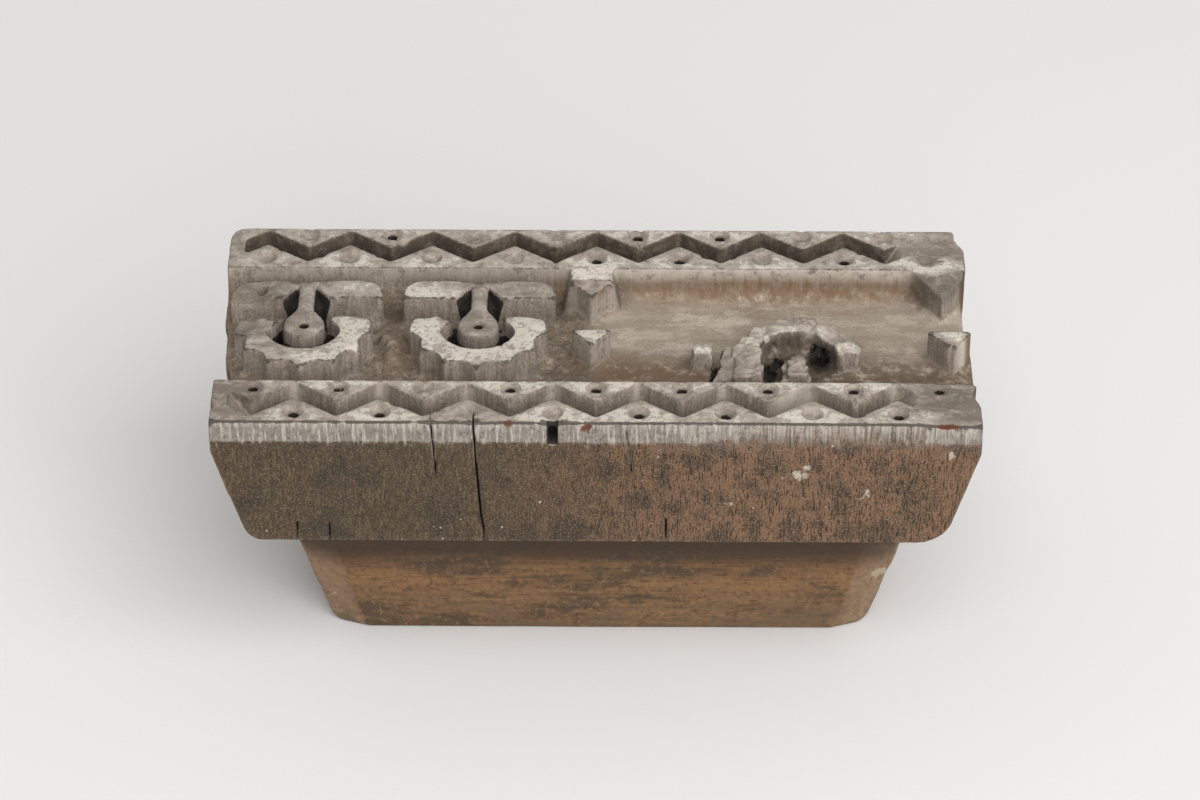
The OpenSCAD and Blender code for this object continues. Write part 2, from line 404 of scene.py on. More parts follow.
    def mesh(self, name: str, most: int) -> bpy.types.Object:
        """Turns the field into a mesh object, thinned to a number of triangles.

        Args:
            name: Name of the object.
            most: Most triangles to keep.

        Returns:
            The object, linked to the scene.
        """
        grid = openvdb.FloatGrid(float(self.values.max()))
        grid.copyFromArray(self.values, ijk=tuple(int(i) for i in np.round(self.low / self.step)))
        grid.transform = openvdb.createLinearTransform(self.step)
        points, _, quads = grid.convertToPolygons(0.0, 0.0)
        mesh = bpy.data.meshes.new(name)
        mesh.vertices.add(len(points))
        mesh.vertices.foreach_set("co", (points * MM).astype(np.float32).ravel())
        mesh.loops.add(quads.size)
        mesh.loops.foreach_set("vertex_index", quads.astype(np.int32).ravel())
        mesh.polygons.add(len(quads))
        mesh.polygons.foreach_set("loop_start", np.arange(0, quads.size, 4, dtype=np.int32))
        mesh.update(calc_edges=True)
        mesh.validate()
        piece = bpy.data.objects.new(name, mesh)
        bpy.context.scene.collection.objects.link(piece)
        thin = piece.modifiers.new("thin", "DECIMATE")
        thin.ratio = min(1.0, most / (2 * len(quads)))
        bake_modifiers(piece)
        drop_voids(piece.data)
        piece.data.shade_smooth()
        return piece


def bake_modifiers(piece: bpy.types.Object) -> None:
    """Replaces a piece's mesh by its evaluated one and removes its modifiers.

    Args:
        piece: Piece to change.
    """
    depsgraph = bpy.context.evaluated_depsgraph_get()
    mesh = bpy.data.meshes.new_from_object(piece.evaluated_get(depsgraph))
    piece.modifiers.clear()
    piece.data = mesh


def drop_voids(mesh: bpy.types.Mesh) -> None:
    """Deletes every shell but the largest: the closed voids that carving can leave inside a solid.

    Args:
        mesh: Mesh to clean.
    """
    work = bmesh.new()
    work.from_mesh(mesh)
    left, shells = set(work.verts), []
    while left:
        shell, ends = [], [left.pop()]
        while ends:
            vertex = ends.pop()
            shell.append(vertex)
            near = {edge.other_vert(vertex) for edge in vertex.link_edges} & left
            left -= near
            ends.extend(near)
        shells.append(shell)
    hidden = [vertex for shell in sorted(shells, key=len)[:-1] for vertex in shell]
    bmesh.ops.delete(work, geom=hidden, context="VERTS")
    work.to_mesh(mesh)
    work.free()


def vertex_rows(piece: bpy.types.Object, name: str) -> np.ndarray:
    """Reads a vector of each of a piece's vertices.

    Args:
        piece: Piece to read.
        name: "co" for positions or "normal" for outward directions.

    Returns:
        One row for each vertex.
    """
    flat = np.zeros(len(piece.data.vertices) * 3, np.float32)
    piece.data.vertices.foreach_get(name, flat)
    return flat.reshape(-1, 3)


def paint(piece: bpy.types.Object, masks: dict[str, np.ndarray]) -> None:
    """Stores one float attribute for each mask on a piece's vertices.

    Args:
        piece: Piece to paint.
        masks: Values from 0 to 1 by name, which are cut off outside that.
    """
    for name, values in masks.items():
        layer = piece.data.attributes.new(name, "FLOAT", "POINT")
        layer.data.foreach_set("value", np.clip(values, 0, 1).astype(np.float32))


def place_piece(piece: bpy.types.Object, material: bpy.types.Material) -> None:
    """Gives a piece its only material and its body.

    Args:
        piece: Piece to dress.
        material: Finish of the piece.
    """
    piece.data.materials.clear()
    piece.data.materials.append(material)
    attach(piece, BODY)


@dataclass(frozen=True)
class Pattern:
    """Noise in a material, with lumps of a real size in millimetres."""

    size: Triple
    detail: float = 2.0
    rough: float = 0.5
    shift: float = 0.0


@dataclass(frozen=True)
class Coat:
    """One colour laid over those before it, where its pattern and its mask let it show.

    The coat shows from low to high of its pattern. Without a pattern it follows its mask from low to high,
    and with Cover.BREAK it follows the mask made weaker and stronger by the pattern.
    """

    colour: str
    pattern: str = ""
    low: float = 0.0
    high: float = 1.0
    mask: str = ""
    strength: float = 1.0
    cover: Cover = Cover.THIN
    gain: float = 1.0
    relief_mm: float = 0.0


@dataclass(frozen=True)
class Finish:
    """Material made of coats of colour over a ground colour, with a fine relief."""

    name: str
    ground: str
    patterns: dict[str, Pattern]
    coats: list[Coat]
    relief_mm: dict[str, float]
    roughness: float

    def make(self) -> bpy.types.Material:
        """Builds the material.

        Returns:
            The material, which reads the masks that its coats name.
        """
        material = bpy.data.materials.new(self.name)
        material.use_nodes = True
        tree = material.node_tree
        place = add_node(tree, "ShaderNodeTexCoord", {}, {}, "Object")
        waves = {}
        for name, pattern in self.patterns.items():
            scale = [1 / (size * MM) for size in pattern.size]
            at = add_node(tree, "ShaderNodeMapping", {},
                          {"Vector": place, "Location": [pattern.shift] * 3, "Scale": scale})
            waves[name] = add_node(tree, "ShaderNodeTexNoise", {}, {
                "Vector": at, "Scale": 1.0, "Detail": pattern.detail, "Roughness": pattern.rough})
        masks = {name: add_node(tree, "ShaderNodeAttribute", {"attribute_name": name}, {}, "Fac")
                 for name in sorted({coat.mask for coat in self.coats if coat.mask})}
        colour, height = linear(self.ground), 0.0
        for name, depth in self.relief_mm.items():
            height = add_node(tree, "ShaderNodeMath", {"operation": "MULTIPLY_ADD"},
                              {0: waves[name], 1: depth, 2: height})
        for coat in self.coats:
            share = self.share(tree, coat, waves.get(coat.pattern), masks.get(coat.mask))
            colour = add_node(tree, "ShaderNodeMix", {"data_type": "RGBA"},
                              {0: share, 6: colour, 7: linear(coat.colour)}, 2)
            if coat.relief_mm:
                height = add_node(tree, "ShaderNodeMath", {"operation": "MULTIPLY_ADD"},
                                  {0: share, 1: coat.relief_mm, 2: height})
        bump = add_node(tree, "ShaderNodeBump", {}, {"Height": height, "Distance": MM})
        surface = tree.nodes["Principled BSDF"]
        surface.inputs["Roughness"].default_value = self.roughness
        tree.links.new(colour, surface.inputs["Base Color"])
        tree.links.new(bump, surface.inputs["Normal"])
        return material

    def share(self, tree: bpy.types.NodeTree, coat: Coat, wave: Any, mask: Any) -> bpy.types.NodeSocket:
        """Builds the share of the surface that a coat covers.

        Args:
            tree: Tree of the material.
            coat: Coat to lay.
            wave: Socket of the coat's pattern, or nothing.
            mask: Socket of the coat's mask, or nothing.

        Returns:
            Socket with the share, from 0 to the coat's strength.
        """
        value = mask if wave is None else wave
        if coat.cover is Cover.BREAK:
            wave = add_node(tree, "ShaderNodeMath", {"operation": "MULTIPLY_ADD"},
                            {0: wave, 1: coat.gain, 2: 1 - coat.gain / 2})
            value = add_node(tree, "ShaderNodeMath", {"operation": "MULTIPLY"}, {0: wave, 1: mask})
        share = add_node(tree, "ShaderNodeMapRange", {"interpolation_type": "SMOOTHSTEP"}, {
            "Value": value, "From Min": coat.low, "From Max": coat.high, "To Max": coat.strength})
        if coat.cover is Cover.THIN and wave is not None and mask is not None:
            share = add_node(tree, "ShaderNodeMath", {"operation": "MULTIPLY"}, {0: share, 1: mask})
        return share


def carved_hardwood() -> Finish:
    """Dense hardwood, chisel-carved into its end grain and grey with age, with pale dried printing paste.

    Returns:
        The finish, which reads the masks that the printing block paints on itself.
    """
    upright = Grain.UPRIGHT
    patterns = {
        # Real fibres and pores are about 0.1 mm wide, too fine for the picture, so these are coarser.
        "fibre": Pattern(upright.streak(1.0, 8.0), 4.0, 0.64),
        "pore": Pattern(upright.streak(0.34, 2.6), 1.0, 0.5, 7.3),
        "streak": Pattern(upright.streak(2.4, 26.0), 3.0, 0.6, 1.9),
        "blotch": Pattern((15.0, 11.0, 13.0), 4.0, 0.66),
        "mottle": Pattern((1.1, 1.1, 1.1), 3.0, 0.7, 3.1),
        "grain": Pattern(upright.streak(0.8, 2.8), 3.0, 0.7, 4.6),
        "speck": Pattern((0.42, 0.42, 0.55), 1.0, 0.5, 8.2),
        "crumble": Pattern((3.0, 3.0, 3.0), 4.0, 0.7, 5.7),
        "scrape": Pattern((11.0, 4.0, 4.0), 4.0, 0.66, 2.9),
        "drip": Pattern((0.9, 9.0, 32.0), 4.0, 0.66, 9.1),
    }
    plain_sides = [
        # Plain sides: handled grey-brown wood, redder to the right, with dark dashes of open pores.
        Coat("#5f513d", "grain", 0.5, 0.64, strength=0.7),
        Coat("#2b2219", "grain", 0.5, 0.36, strength=0.7),
        Coat("#7a5a42", "blotch", 0.38, 0.54, "ruddy", 0.9),
        Coat("#765840", "streak", 0.46, 0.66, "ruddy", 0.5),
        Coat("#3e342a", "streak", 0.5, 0.34, strength=0.4),
        Coat("#2d2720", "blotch", 0.5, 0.64, strength=0.75),
        Coat("#86674f", "speck", 0.5, 0.68, "ruddy", 0.5),
        Coat("#251d16", "speck", 0.48, 0.34, strength=0.6),
        Coat("#7a664b", "speck", 0.54, 0.68, strength=0.5),
        Coat("#211912", "pore", 0.58, 0.66, "pores", 0.85, relief_mm=-0.12),
        Coat("#7b6248", mask="ends", strength=0.85),
        Coat("#5a4632", "fibre", 0.46, 0.62, "ends", 0.6),
        Coat("#9f7c52", "fibre", 0.48, 0.36, "ends", 0.6),
        Coat("#493a2b", "blotch", 0.47, 0.6, "ends", 0.7),
        Coat("#3b2e22", "mottle", 0.45, 0.36, "ends", 0.5),
        # Pale line along the lower edges, partly worn wood and partly a painted highlight where the edge
        # catches the light.
        Coat("#796a58", "mottle", 0.45, 0.55, "worn", 0.8),
    ]
    relief = [
        # Carved relief: weathered grey wood, streaked along the grain on the walls, speckled on the tops.
        Coat("#8c8074", mask="carved"),
        Coat("#6a5e53", "fibre", 0.48, 0.64, "carved", 0.5),
        Coat("#aaa094", "fibre", 0.48, 0.36, "carved", 0.4),
        Coat("#675b4f", "crumble", 0.46, 0.36, "carved", 0.5),
        Coat("#5d5147", "speck", 0.54, 0.68, "carved", 0.65),
        Coat("#bdb2a5", "crumble", 0.25, 0.55, "pale", 0.9),
        Coat("#92877b", mask="top", strength=0.85),
        Coat("#b0a599", "crumble", 0.5, 0.6, "top", 0.6),
        Coat("#74685c", "crumble", 0.48, 0.38, "top", 0.6),
        Coat("#5f5449", "speck", 0.57, 0.68, "top", 0.5),
        Coat("#736453", mask="floor", strength=0.85),
        Coat("#a19384", "crumble", 0.5, 0.62, "floor", 0.6),
        Coat("#51463b", "mottle", 0.47, 0.38, "floor", 0.75),
        Coat("#9f9181", mask="bare", strength=0.85),
        Coat("#bcb1a2", "blotch", 0.5, 0.62, "bare", 0.6),
        Coat("#b7ab9b", "scrape", 0.5, 0.64, "bare", 0.5),
        Coat("#82705c", "scrape", 0.46, 0.34, "bare", 0.5),
        Coat("#6b5c4c", "speck", 0.54, 0.68, "bare", 0.5),
        Coat("#5a4836", "crumble", 0.25, 0.54, "brown", 0.9),
        Coat("#6e553b", "crumble", 0.3, 0.56, "warm", 0.85),
        Coat("#6a4f36", "streak", 0.5, 0.62, "warm", 0.6),
        # Painted shade in the worn motif's ring, in pockets of the ground and on the rear groove's walls,
        # with grime on some tops.
        Coat("#463a2e", "crumble", 0.25, 0.55, "shade", 0.9),
    ]
    paste = [
        # Dried paste: a thin pale crust that crumbles, greyer where it is thin and pitted where it is thick.
        Coat("#a89d91", "crumble", 0.2, 0.42, "paste", 0.75, Cover.BREAK, 3.0),
        Coat("#c6bdb0", "crumble", 0.46, 0.7, "paste", 0.95, Cover.BREAK, 4.0, 0.14),
        Coat("#d9d1c3", "scrape", 0.5, 0.64, "paste", 0.55),
        Coat("#8a7f72", "mottle", 0.46, 0.36, "paste", 0.65, relief_mm=-0.1),
        Coat("#7d766d", "crumble", 0.46, 0.54, "crust", 0.95, Cover.BREAK, 0.4),
        Coat("#968f86", "crumble", 0.5, 0.62, "band", 0.6),
        Coat("#544c44", "mottle", 0.47, 0.36, "band", 0.6),
        Coat("#4f473f", "drip", 0.44, 0.35, "band", 0.6),
        Coat("#82786d", "crumble", 0.25, 0.6, "lip", 0.8),
        Coat("#aaa299", "drip", 0.3, 1.0, "lip", 0.8, Cover.BREAK, 4.2),
        Coat("#4a423b", "mottle", 0.46, 0.37, "lip", 0.65),
        Coat("#bdb5ab", "fibre", 0.5, 0.62, "band", 0.6),
    ]
    dirt = [
        # Dirt and painted shade: thin dark lines along the cut edges, partly dark dye and partly painted
        # shadow, black in the deep gaps, partly grime and partly painted shade, and a few rust-coloured
        # stains.
        Coat("#3d352c", "mottle", 0.36, 0.66, "edge", 0.85, Cover.BREAK, 1.6),
        # Near black in the deep gaps, partly grime and partly painted shade.
        Coat("#17120e", "mottle", 0.35, 0.75, "soot", 0.96, Cover.BREAK, 2.0),
        Coat("#592b0c", "mottle", 0.3, 0.6, "rust", 0.95, Cover.BREAK, 2.0),
        Coat("#bdb3a5", "mottle", 0.3, 0.8, "scuff", 0.75, Cover.BREAK, 3.4),
    ]
    return Finish("weathered_hardwood_carved_with_chisels", "#4a3a27", patterns,
                  plain_sides + relief + paste + dirt, {"fibre": 0.07, "mottle": 0.16}, 0.85)


def hand_rubbed_bar() -> Finish:
    """Brown straight-grained wood, sawn and rasped to shape and rubbed smooth by hands.

    Returns:
        The finish, which reads the masks that the handle paints on itself.
    """
    lengthwise = Grain.LENGTHWISE
    patterns = {
        "streak": Pattern(lengthwise.streak(2.6, 36.0), 4.0, 0.62),
        "fibre": Pattern(lengthwise.streak(0.7, 10.0), 3.0, 0.62, 2.2),
        "blotch": Pattern(lengthwise.streak(8.0, 22.0), 4.0, 0.68, 4.4),
        "mottle": Pattern((1.5, 1.5, 1.5), 3.0, 0.7, 6.1),
    }
    coats = [
        # Long soft streaks of light and dark wood, then the greasy stains that hands leave, and dirt with
        # painted shadow under the block.
        Coat("#87643e", "streak", 0.48, 0.62, strength=0.55),
        Coat("#46321f", "streak", 0.5, 0.36, strength=0.5),
        Coat("#865f39", "blotch", 0.48, 0.62, strength=0.65),
        Coat("#423526", "blotch", 0.5, 0.38, strength=0.75),
        Coat("#453321", "fibre", 0.5, 0.64, strength=0.45),
        Coat("#8b6d4b", "mottle", 0.54, 0.66, strength=0.5),
        Coat("#332416", "mottle", 0.46, 0.34, strength=0.55),
        Coat("#8e755d", mask="facet", strength=0.75),
        Coat("#674f38", "mottle", 0.5, 0.38, "facet", 0.6),
        Coat("#4d4638", "blotch", 0.46, 0.58, "stain", 0.6),
        # Dirt and the block's painted shadow along the top of the bar, and painted shade in its corners.
        Coat("#362617", "blotch", 0.1, 0.7, "dirt", 0.9, Cover.BREAK, 1.2),
        Coat("#a69b88", "mottle", 0.4, 0.6, "scuff", 0.75, Cover.BREAK, 1.2),
    ]
    return Finish("brown_wood_rasped_and_hand_rubbed", "#6f5132", patterns, coats,
                  {"fibre": 0.1, "mottle": 0.06, "streak": 0.05}, 0.68)


def shaved_wood(name: str, light: str, dark: str) -> Finish:
    """Straight-grained wood, split and shaved, showing its end grain at the driven end.

    Args:
        name: Name of the material.
        light: Colour of the light fibres.
        dark: Colour of the dark fibres.

    Returns:
        The finish.
    """
    patterns = {"fibre": Pattern(Grain.UPRIGHT.streak(0.5, 12.0), 3.0, 0.6),
                "blotch": Pattern(Grain.UPRIGHT.streak(4.0, 15.0), 3.0, 0.55, 1.7)}
    coats = [Coat(dark, "fibre", 0.5, 0.66, strength=0.7), Coat(dark, "blotch", 0.5, 0.75, strength=0.5)]
    return Finish(name, light, patterns, coats, {"fibre": 0.15}, 0.75)


def crumbled_paste() -> Finish:
    """Crumbs of the pale printing paste, dried hard and chalky where they splashed.

    Returns:
        The finish.
    """
    patterns = {"mottle": Pattern((0.8, 0.8, 0.8), 3.0, 0.6)}
    return Finish("dried_chalky_printing_paste", "#a99f92", patterns,
                  [Coat("#a99d8f", "mottle", 0.5, 0.3, strength=0.8)], {"mottle": 0.05}, 0.9)


def matt_paper() -> Finish:
    """Matt pale paper below the object, which shows only as an even tone.

    Returns:
        The finish.
    """
    patterns = {"fibre": Pattern((0.8, 0.8, 0.8))}
    return Finish("matt_pale_paper_sheet", "#e3e1df", patterns,
                  [Coat("#e9e8e6", "fibre", 0.3, 0.7, strength=0.25)], {"fibre": 0.01}, 0.95)


@dataclass
class PrintingBlock:
    """Carved slab: two zigzag border strips and a sunk field with flower motifs.

    Sizes and places are in millimetres in the part's frame.
    """

    voxel: float
    most_triangles: int = 190000
    ground_d: float = 9.5
    strip_w: float = 19.4
    zig_pitch: float = 22.35
    end_taper: float = 0.32
    past_end: float = 101.0
    dot_inset: float = 4.9
    dot_r: float = 1.2
    dot_d: float = 6.0
    far_shift: float = 1.7
    dimple_r: float = 3.1
    dimple_d: float = 1.6
    burst_half: float = 1.1
    motif_x: Pair = (-77.7, -31.4)
    arc_y: float = -3.0
    arc_outer_r: float = 18.8
    arc_end: float = 3.4
    arc_end_r: float = 8.5
    bulb_y: float = -0.4
    bulb_r: float = 5.3
    stem_half: float = 2.0
    stem_end: float = 20.4
    gap_apex: float = 19.5
    gap_foot: float = 1.3
    gap_spread: float = 0.4
    gap_lean: float = 0.035
    prism_x: float = -1.3
    bridge_gap: Scratch = Scratch((-7.4, 21.7, 83.0), (4.8, 21.7, 83.0), 0.5, 0.9)
    worn_place: Pair = (53.0, -9.5)
    # Place, half widths and depth of each hollow in the worn motif.
    hollows: tuple[Row, ...] = (
        (59.3, -3.6, 2.4, 4.6, 3.0), (46.0, -9.5, 1.5, 3.4, 2.0), (48.4, -4.6, 1.3, 1.9, 1.5),
        (31.6, -13.0, 1.2, 4.6, 2.5), (34.0, -4.5, 0.8, 5.0, 1.0))
    # Place, half widths and height of each mound that the chisel left on the ground.
    mounds: tuple[Row, ...] = (
        (-54.5, 0, 4.8, 10, 3.4), (-54, -21, 6, 4, 1.6), (-9, -15, 5, 5, 1.8),
        (-96, 6, 4, 6, 1.8), (70, -20, 6, 5, 1.2), (20, -21, 8, 4, 1.2))
    # Place along Y, half width and depth of each bite out of the ends.
    left_bites: tuple[Row, ...] = ((-15, 9.0, 3.6), (2, 9.0, 1.2))
    right_bites: tuple[Row, ...] = ((14, 12.0, 1.3), (-31, 4.0, 1.6))
    band_edge_z: float = 77.6
    lumps: Rough = Rough((3.1, 3.1, 3.1), 11)
    crumbs: Rough = Rough((1.3, 1.3, 1.7), 12)
    flutes: Rough = Rough(Grain.UPRIGHT.streak(1.2, 14.0), 13)
    swells: Rough = Rough((22.0, 22.0, 16.0), 14, 0.07)

    def __post_init__(self) -> None:
        """Takes the slab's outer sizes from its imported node."""
        low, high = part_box("printing_block")
        self.low = np.array(low) / MM
        self.high = np.array(high) / MM
        self.front, self.bottom, self.top = float(self.low[1]), float(self.low[2]), float(self.high[2])
        self.ground = self.top - self.ground_d
        self.field_half = float(self.high[1]) - self.strip_w

    def build(self) -> bpy.types.Object:
        """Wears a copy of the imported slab.

        Returns:
            The worn slab, with its masks painted on.
        """
        solid = CarvingField.of_node("printing_block", self.voxel)
        for work in (self.shape_motifs, self.run_out_grooves, self.mend_corners, self.shape_dots,
                     self.leave_feet, self.leave_bridge, self.leave_mounds, self.rub_surfaces,
                     self.wear_face, self.wear_motif, self.sink_hollows, self.break_ends, self.split_front):
            work(solid)
        solid.keep(self.blank(solid))
        piece = solid.mesh("printing_block_worn", self.most_triangles)
        paint(piece, self.masks(solid, piece))
        return piece

    def blank(self, solid: CarvingField) -> np.ndarray:
        """Field of the slab's outer box, which nothing may leave."""
        sides = zip(self.low, solid.axes(), self.high)
        return meet(*[np.maximum(low - at, at - high) for low, at, high in sides])

    def over(self, solid: CarvingField, x: Pair, y: Pair, lift: float = -1.0) -> CarvingField:
        """Part of a field over a rectangle, from a lift above the ground to just over the printing face."""
        return solid.part((x[0], y[0], self.ground + lift), (x[1], y[1], self.top + 1))

    def standing(self, z: np.ndarray, drop: float) -> np.ndarray:
        """Field of the heights from just below the ground to a drop under the printing face."""
        return np.maximum(z - self.top + drop, self.ground - 1 - z)

    def drawn_in(self, z: np.ndarray) -> np.ndarray:
        """How far the slab's ends have drawn in at each height."""
        return self.end_taper * np.clip(self.ground - z, 0, None)

    def shape_motifs(self, solid: CarvingField) -> None:
        """Sets the bulbs back, flares their necks and clears deep gaps beside the stems.

        Args:
            solid: Field to change.
        """
        half, rear, packed_bulb_r, dimple_r, dimple_d = 11, 22, 6.3, 2.9, 1.9
        neck_blend, crown_d, shoulder_d, shoulder_w, shoulder_out = 6.0, 0.4, 0.7, 1.2, 0.3
        web_d, web_front, web_half, crown_end = 0.5, 12.2, 9, self.stem_end - 4
        gap_d, gap_rise, gap_front, ring_rear = 2.4, 0.5, 8, 11
        stem_room, bulb_room, arc_room = 0.6, 0.5, 0.3
        for middle in self.motif_x:
            self.lengthen_arc(solid, middle)
            near = solid.part((middle - half, self.arc_y - half, self.ground - 4),
                              (middle + half, rear, self.top + 3))
            x, y, z = near.axes()
            side = np.abs(x - middle)
            from_arc, away = np.hypot(x - middle, y - self.arc_y), np.hypot(x - middle, y - self.bulb_y)
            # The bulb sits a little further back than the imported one, so that one is cleared first.
            near.cut(np.maximum(from_arc - packed_bulb_r, self.ground - z))
            bulb = away - self.bulb_r
            stem = meet(side - self.stem_half, self.bulb_y - y, y - self.stem_end)
            share = np.clip(0.5 + 0.5 * (stem - bulb) / neck_blend, 0, 1)
            pear = stem * (1 - share) + bulb * share - neck_blend * share * (1 - share)
            near.fill(np.maximum(pear, self.standing(z, crown_d)))
            crown = z - (self.top - crown_d - shoulder_d * smooth(-shoulder_w, shoulder_out, pear))
            near.keep(np.where((pear < shoulder_w) & (y < crown_end), crown, INSIDE))
            near.cut(np.maximum(away - self.dot_r, self.top - self.dot_d - z))
            self.sink_dimple(near, middle, self.bulb_y, dimple_r, dimple_d)
            # The leaves meet the stem at its rear end, so that the gaps beside it are closed wedges.
            wedge = self.gap_side(y, z)
            web = meet(wedge - side, side - web_half, web_front - y, y - self.stem_end)
            near.fill(np.maximum(web, self.standing(z, web_d)))
            beside = meet(self.stem_half + stem_room - side, side - wedge, gap_front - y)
            around = meet(self.bulb_r + bulb_room - away, from_arc - self.arc_end_r + arc_room,
                          y - ring_rear)
            depth = np.maximum(self.ground - gap_d - z, z - self.ground - gap_rise)
            near.cut(np.maximum(np.minimum(beside, around), depth))

    def lengthen_arc(self, solid: CarvingField, middle: float) -> None:
        """Adds the flaky ends of a horseshoe, which bend inwards.

        Args:
            solid: Field to change.
            middle: Place of the motif along X.
        """
        half, front, rear, overlap_y = 20, -5, 7, -4
        bend, rim, drop, fall = 0.3, 0.3, 0.25, 0.06
        near = self.over(solid, (middle - half, middle + half), (front, rear))
        x, y, z = near.axes()
        away = np.hypot(x - middle, y - self.arc_y)
        reach = self.arc_end + near.noise(Rough((3.0, 3.0, 9.0), 17, 1.3))
        inner = self.arc_end_r + bend * np.clip(-y, 0, None) + near.noise(Rough((1.6, 1.6, 9.0), 19, 0.5))
        ring = meet(inner - away, away - self.arc_outer_r + rim, overlap_y - y, y - reach)
        near.fill(meet(ring, z - self.top + drop + fall * y, self.ground - 1 - z))

    def gap_side(self, y: np.ndarray, z: np.ndarray) -> np.ndarray:
        """Distance from a stem's middle line to the far side of the gap beside it, which leans outwards."""
        return self.gap_foot + (self.gap_spread + self.gap_lean * (z - self.ground)) * (self.gap_apex - y)

    def sink_dimple(self, solid: CarvingField, x0: float, y0: float, radius: float, depth: float) -> None:
        """Sinks a cone into the printing face.

        Args:
            solid: Field to change.
            x0: Middle of the cone along X.
            y0: Middle of the cone along Y.
            radius: Radius of the cone at the printing face.
            depth: Depth of its tip.
        """
        x, y, z = solid.axes()
        steep = depth / math.hypot(depth, radius)
        solid.cut((np.hypot(x - x0, y - y0) - radius * (1 - (self.top - z) / depth)) * steep)

    def dots(self) -> list[tuple[str, float, float, int]]:
        """Places of the drilled dots.

        Returns:
            Row of each dot, its place along X and Y, and its number in the row.
        """
        front, rear = self.front, self.field_half
        far = self.strip_w - self.dot_inset + self.far_shift
        rows = {"front_near": (front + self.dot_inset, 0.5), "front_far": (front + far, 0.0),
                "rear_near": (rear + self.dot_inset, 0.0), "rear_far": (rear + far, 0.5)}
        return [(row, (k + phase) * self.zig_pitch, y, k)
                for row, (y, phase) in rows.items() for k in range(-4, 4 if phase else 5)]

    def shape_dots(self, solid: CarvingField) -> None:
        """Wears a dimple round each dot, and clogs those that hold dried paste.

        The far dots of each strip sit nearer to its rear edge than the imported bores, which are closed here.

        Args:
            solid: Field to change.
        """
        # Numbers count along the row from the middle of the block.
        clogged = {"front_far": (-2,), "front_near": (-2, 2), "rear_far": (-4, -2, -1, 2, 3),
                   "rear_near": (-4, -3, -2, -1, 2)}
        burst, half, front_room, plug_d, plug_lap = -1, 5, 7, 1.2, 0.4
        for row, x0, y0, number in self.dots():
            near = self.over(solid, (x0 - half, x0 + half), (y0 - front_room, y0 + half))
            x, y, z = near.axes()
            away = np.hypot(x - x0, y - y0)
            if row.endswith("far"):
                packed = np.hypot(x - x0, y - y0 + self.far_shift)
                near.fill(np.maximum(packed - self.dot_r - plug_lap, z - self.top))
                near.cut(np.maximum(away - self.dot_r, self.top - self.dot_d - z))
            if number in clogged[row]:
                near.fill(np.maximum(away - self.dot_r - plug_lap, z - self.top + plug_d))
            if row == "front_near" and number == burst:
                self.break_out(near, x0)
            self.sink_dimple(near, x0, y0, self.dimple_r, self.dimple_d)

    def break_out(self, solid: CarvingField, x0: float) -> None:
        """Closes the burst dot's bore on top, and opens it through the front face with a ragged lower end.

        Args:
            solid: Field to change.
            x0: Place of the dot along X.
        """
        roof, lid_half, lid_front, lid_rear = 0.9, 1.9, 1.3, 7.5
        slot_low, slot_deep, narrowing, ceiling_steep, ceiling_fall = 77.2, 6.0, 0.03, 3, 3.6
        x, y, z = solid.axes()
        side, inward = np.abs(x - x0), y - self.front
        lid = meet(side - lid_half, lid_front - inward, inward - lid_rear)
        solid.fill(np.maximum(lid, self.standing(z, roof)))
        ragged = slot_low + solid.noise(Rough((0.9, 9.0, 9.0), 18, 0.8))
        slot = np.maximum(side - self.burst_half + narrowing * (self.top - z), inward - slot_deep)
        ceiling = self.top + 1 - np.clip(ceiling_steep * (inward - 0.5), 0, ceiling_fall)
        solid.cut(meet(slot, ragged - z, z - ceiling))

    def run_out_grooves(self, solid: CarvingField) -> None:
        """Lets the grooves fade out at the worn ends of the strips.

        Args:
            solid: Field to change.
        """
        inset, lip, deepest, sunk, half = 0.8, 0.3, 9, 0.5, 46
        # Box and span along X, where the groove is filled up, and how steeply it fills.
        right = (74, self.past_end), (74, 94), 83.0, 1.1
        left = (-self.past_end, -86), (-98.5, -86), -96.5, -0.8
        for side, (box, (first, last), full, slope) in ((-1, right), (1, right), (-1, left)):
            near = self.over(solid, box, (-half, half))
            x, y, z = near.axes()
            strip = np.maximum(self.field_half + inset - side * y, side * y - self.high[1] + inset)
            ramp = z - self.top + lip + np.clip(slope * (full - x), 0, deepest)
            near.fill(meet(strip, first - x, x - last, ramp, self.ground - sunk - z))

    def mend_corners(self, solid: CarvingField) -> None:
        """Fills two corners at the right end that the wood still has, and slants the prism between them.

        Args:
            solid: Field to change.
        """
        drop, rear_first, rear_last, rear_front, rear_inset = 0.15, 86, 97.6, 37, 0.1
        prism_y, prism_left, prism_right = -2.7, 88.7, 99.9
        # Outward directions of the prism's left and right sides, along X and Y.
        left_out, right_out = (-0.812, -0.584), (0.835, -0.55)
        slant_d, slant, slant_front, slant_rear, edge_y, first = 0.4, 0.14, 10, 27.5, 27, 84
        corner = self.over(solid, (first, self.past_end), (-14, 47))
        x, y, z = corner.axes()
        rear = meet(x - rear_last, rear_first - x, y - self.high[1] + rear_inset, rear_front - y)
        left = left_out[0] * (x - prism_left) + left_out[1] * (y - prism_y)
        right = right_out[0] * (x - prism_right) + right_out[1] * (y - prism_y)
        prism = meet(left, right, y - prism_y)
        corner.fill(np.maximum(np.minimum(rear, prism), self.standing(z, drop)))
        sloped = z - self.top + slant_d + slant * (edge_y - y)
        corner.keep(np.where((y > slant_front) & (y < slant_rear) & (x > first), sloped, INSIDE))

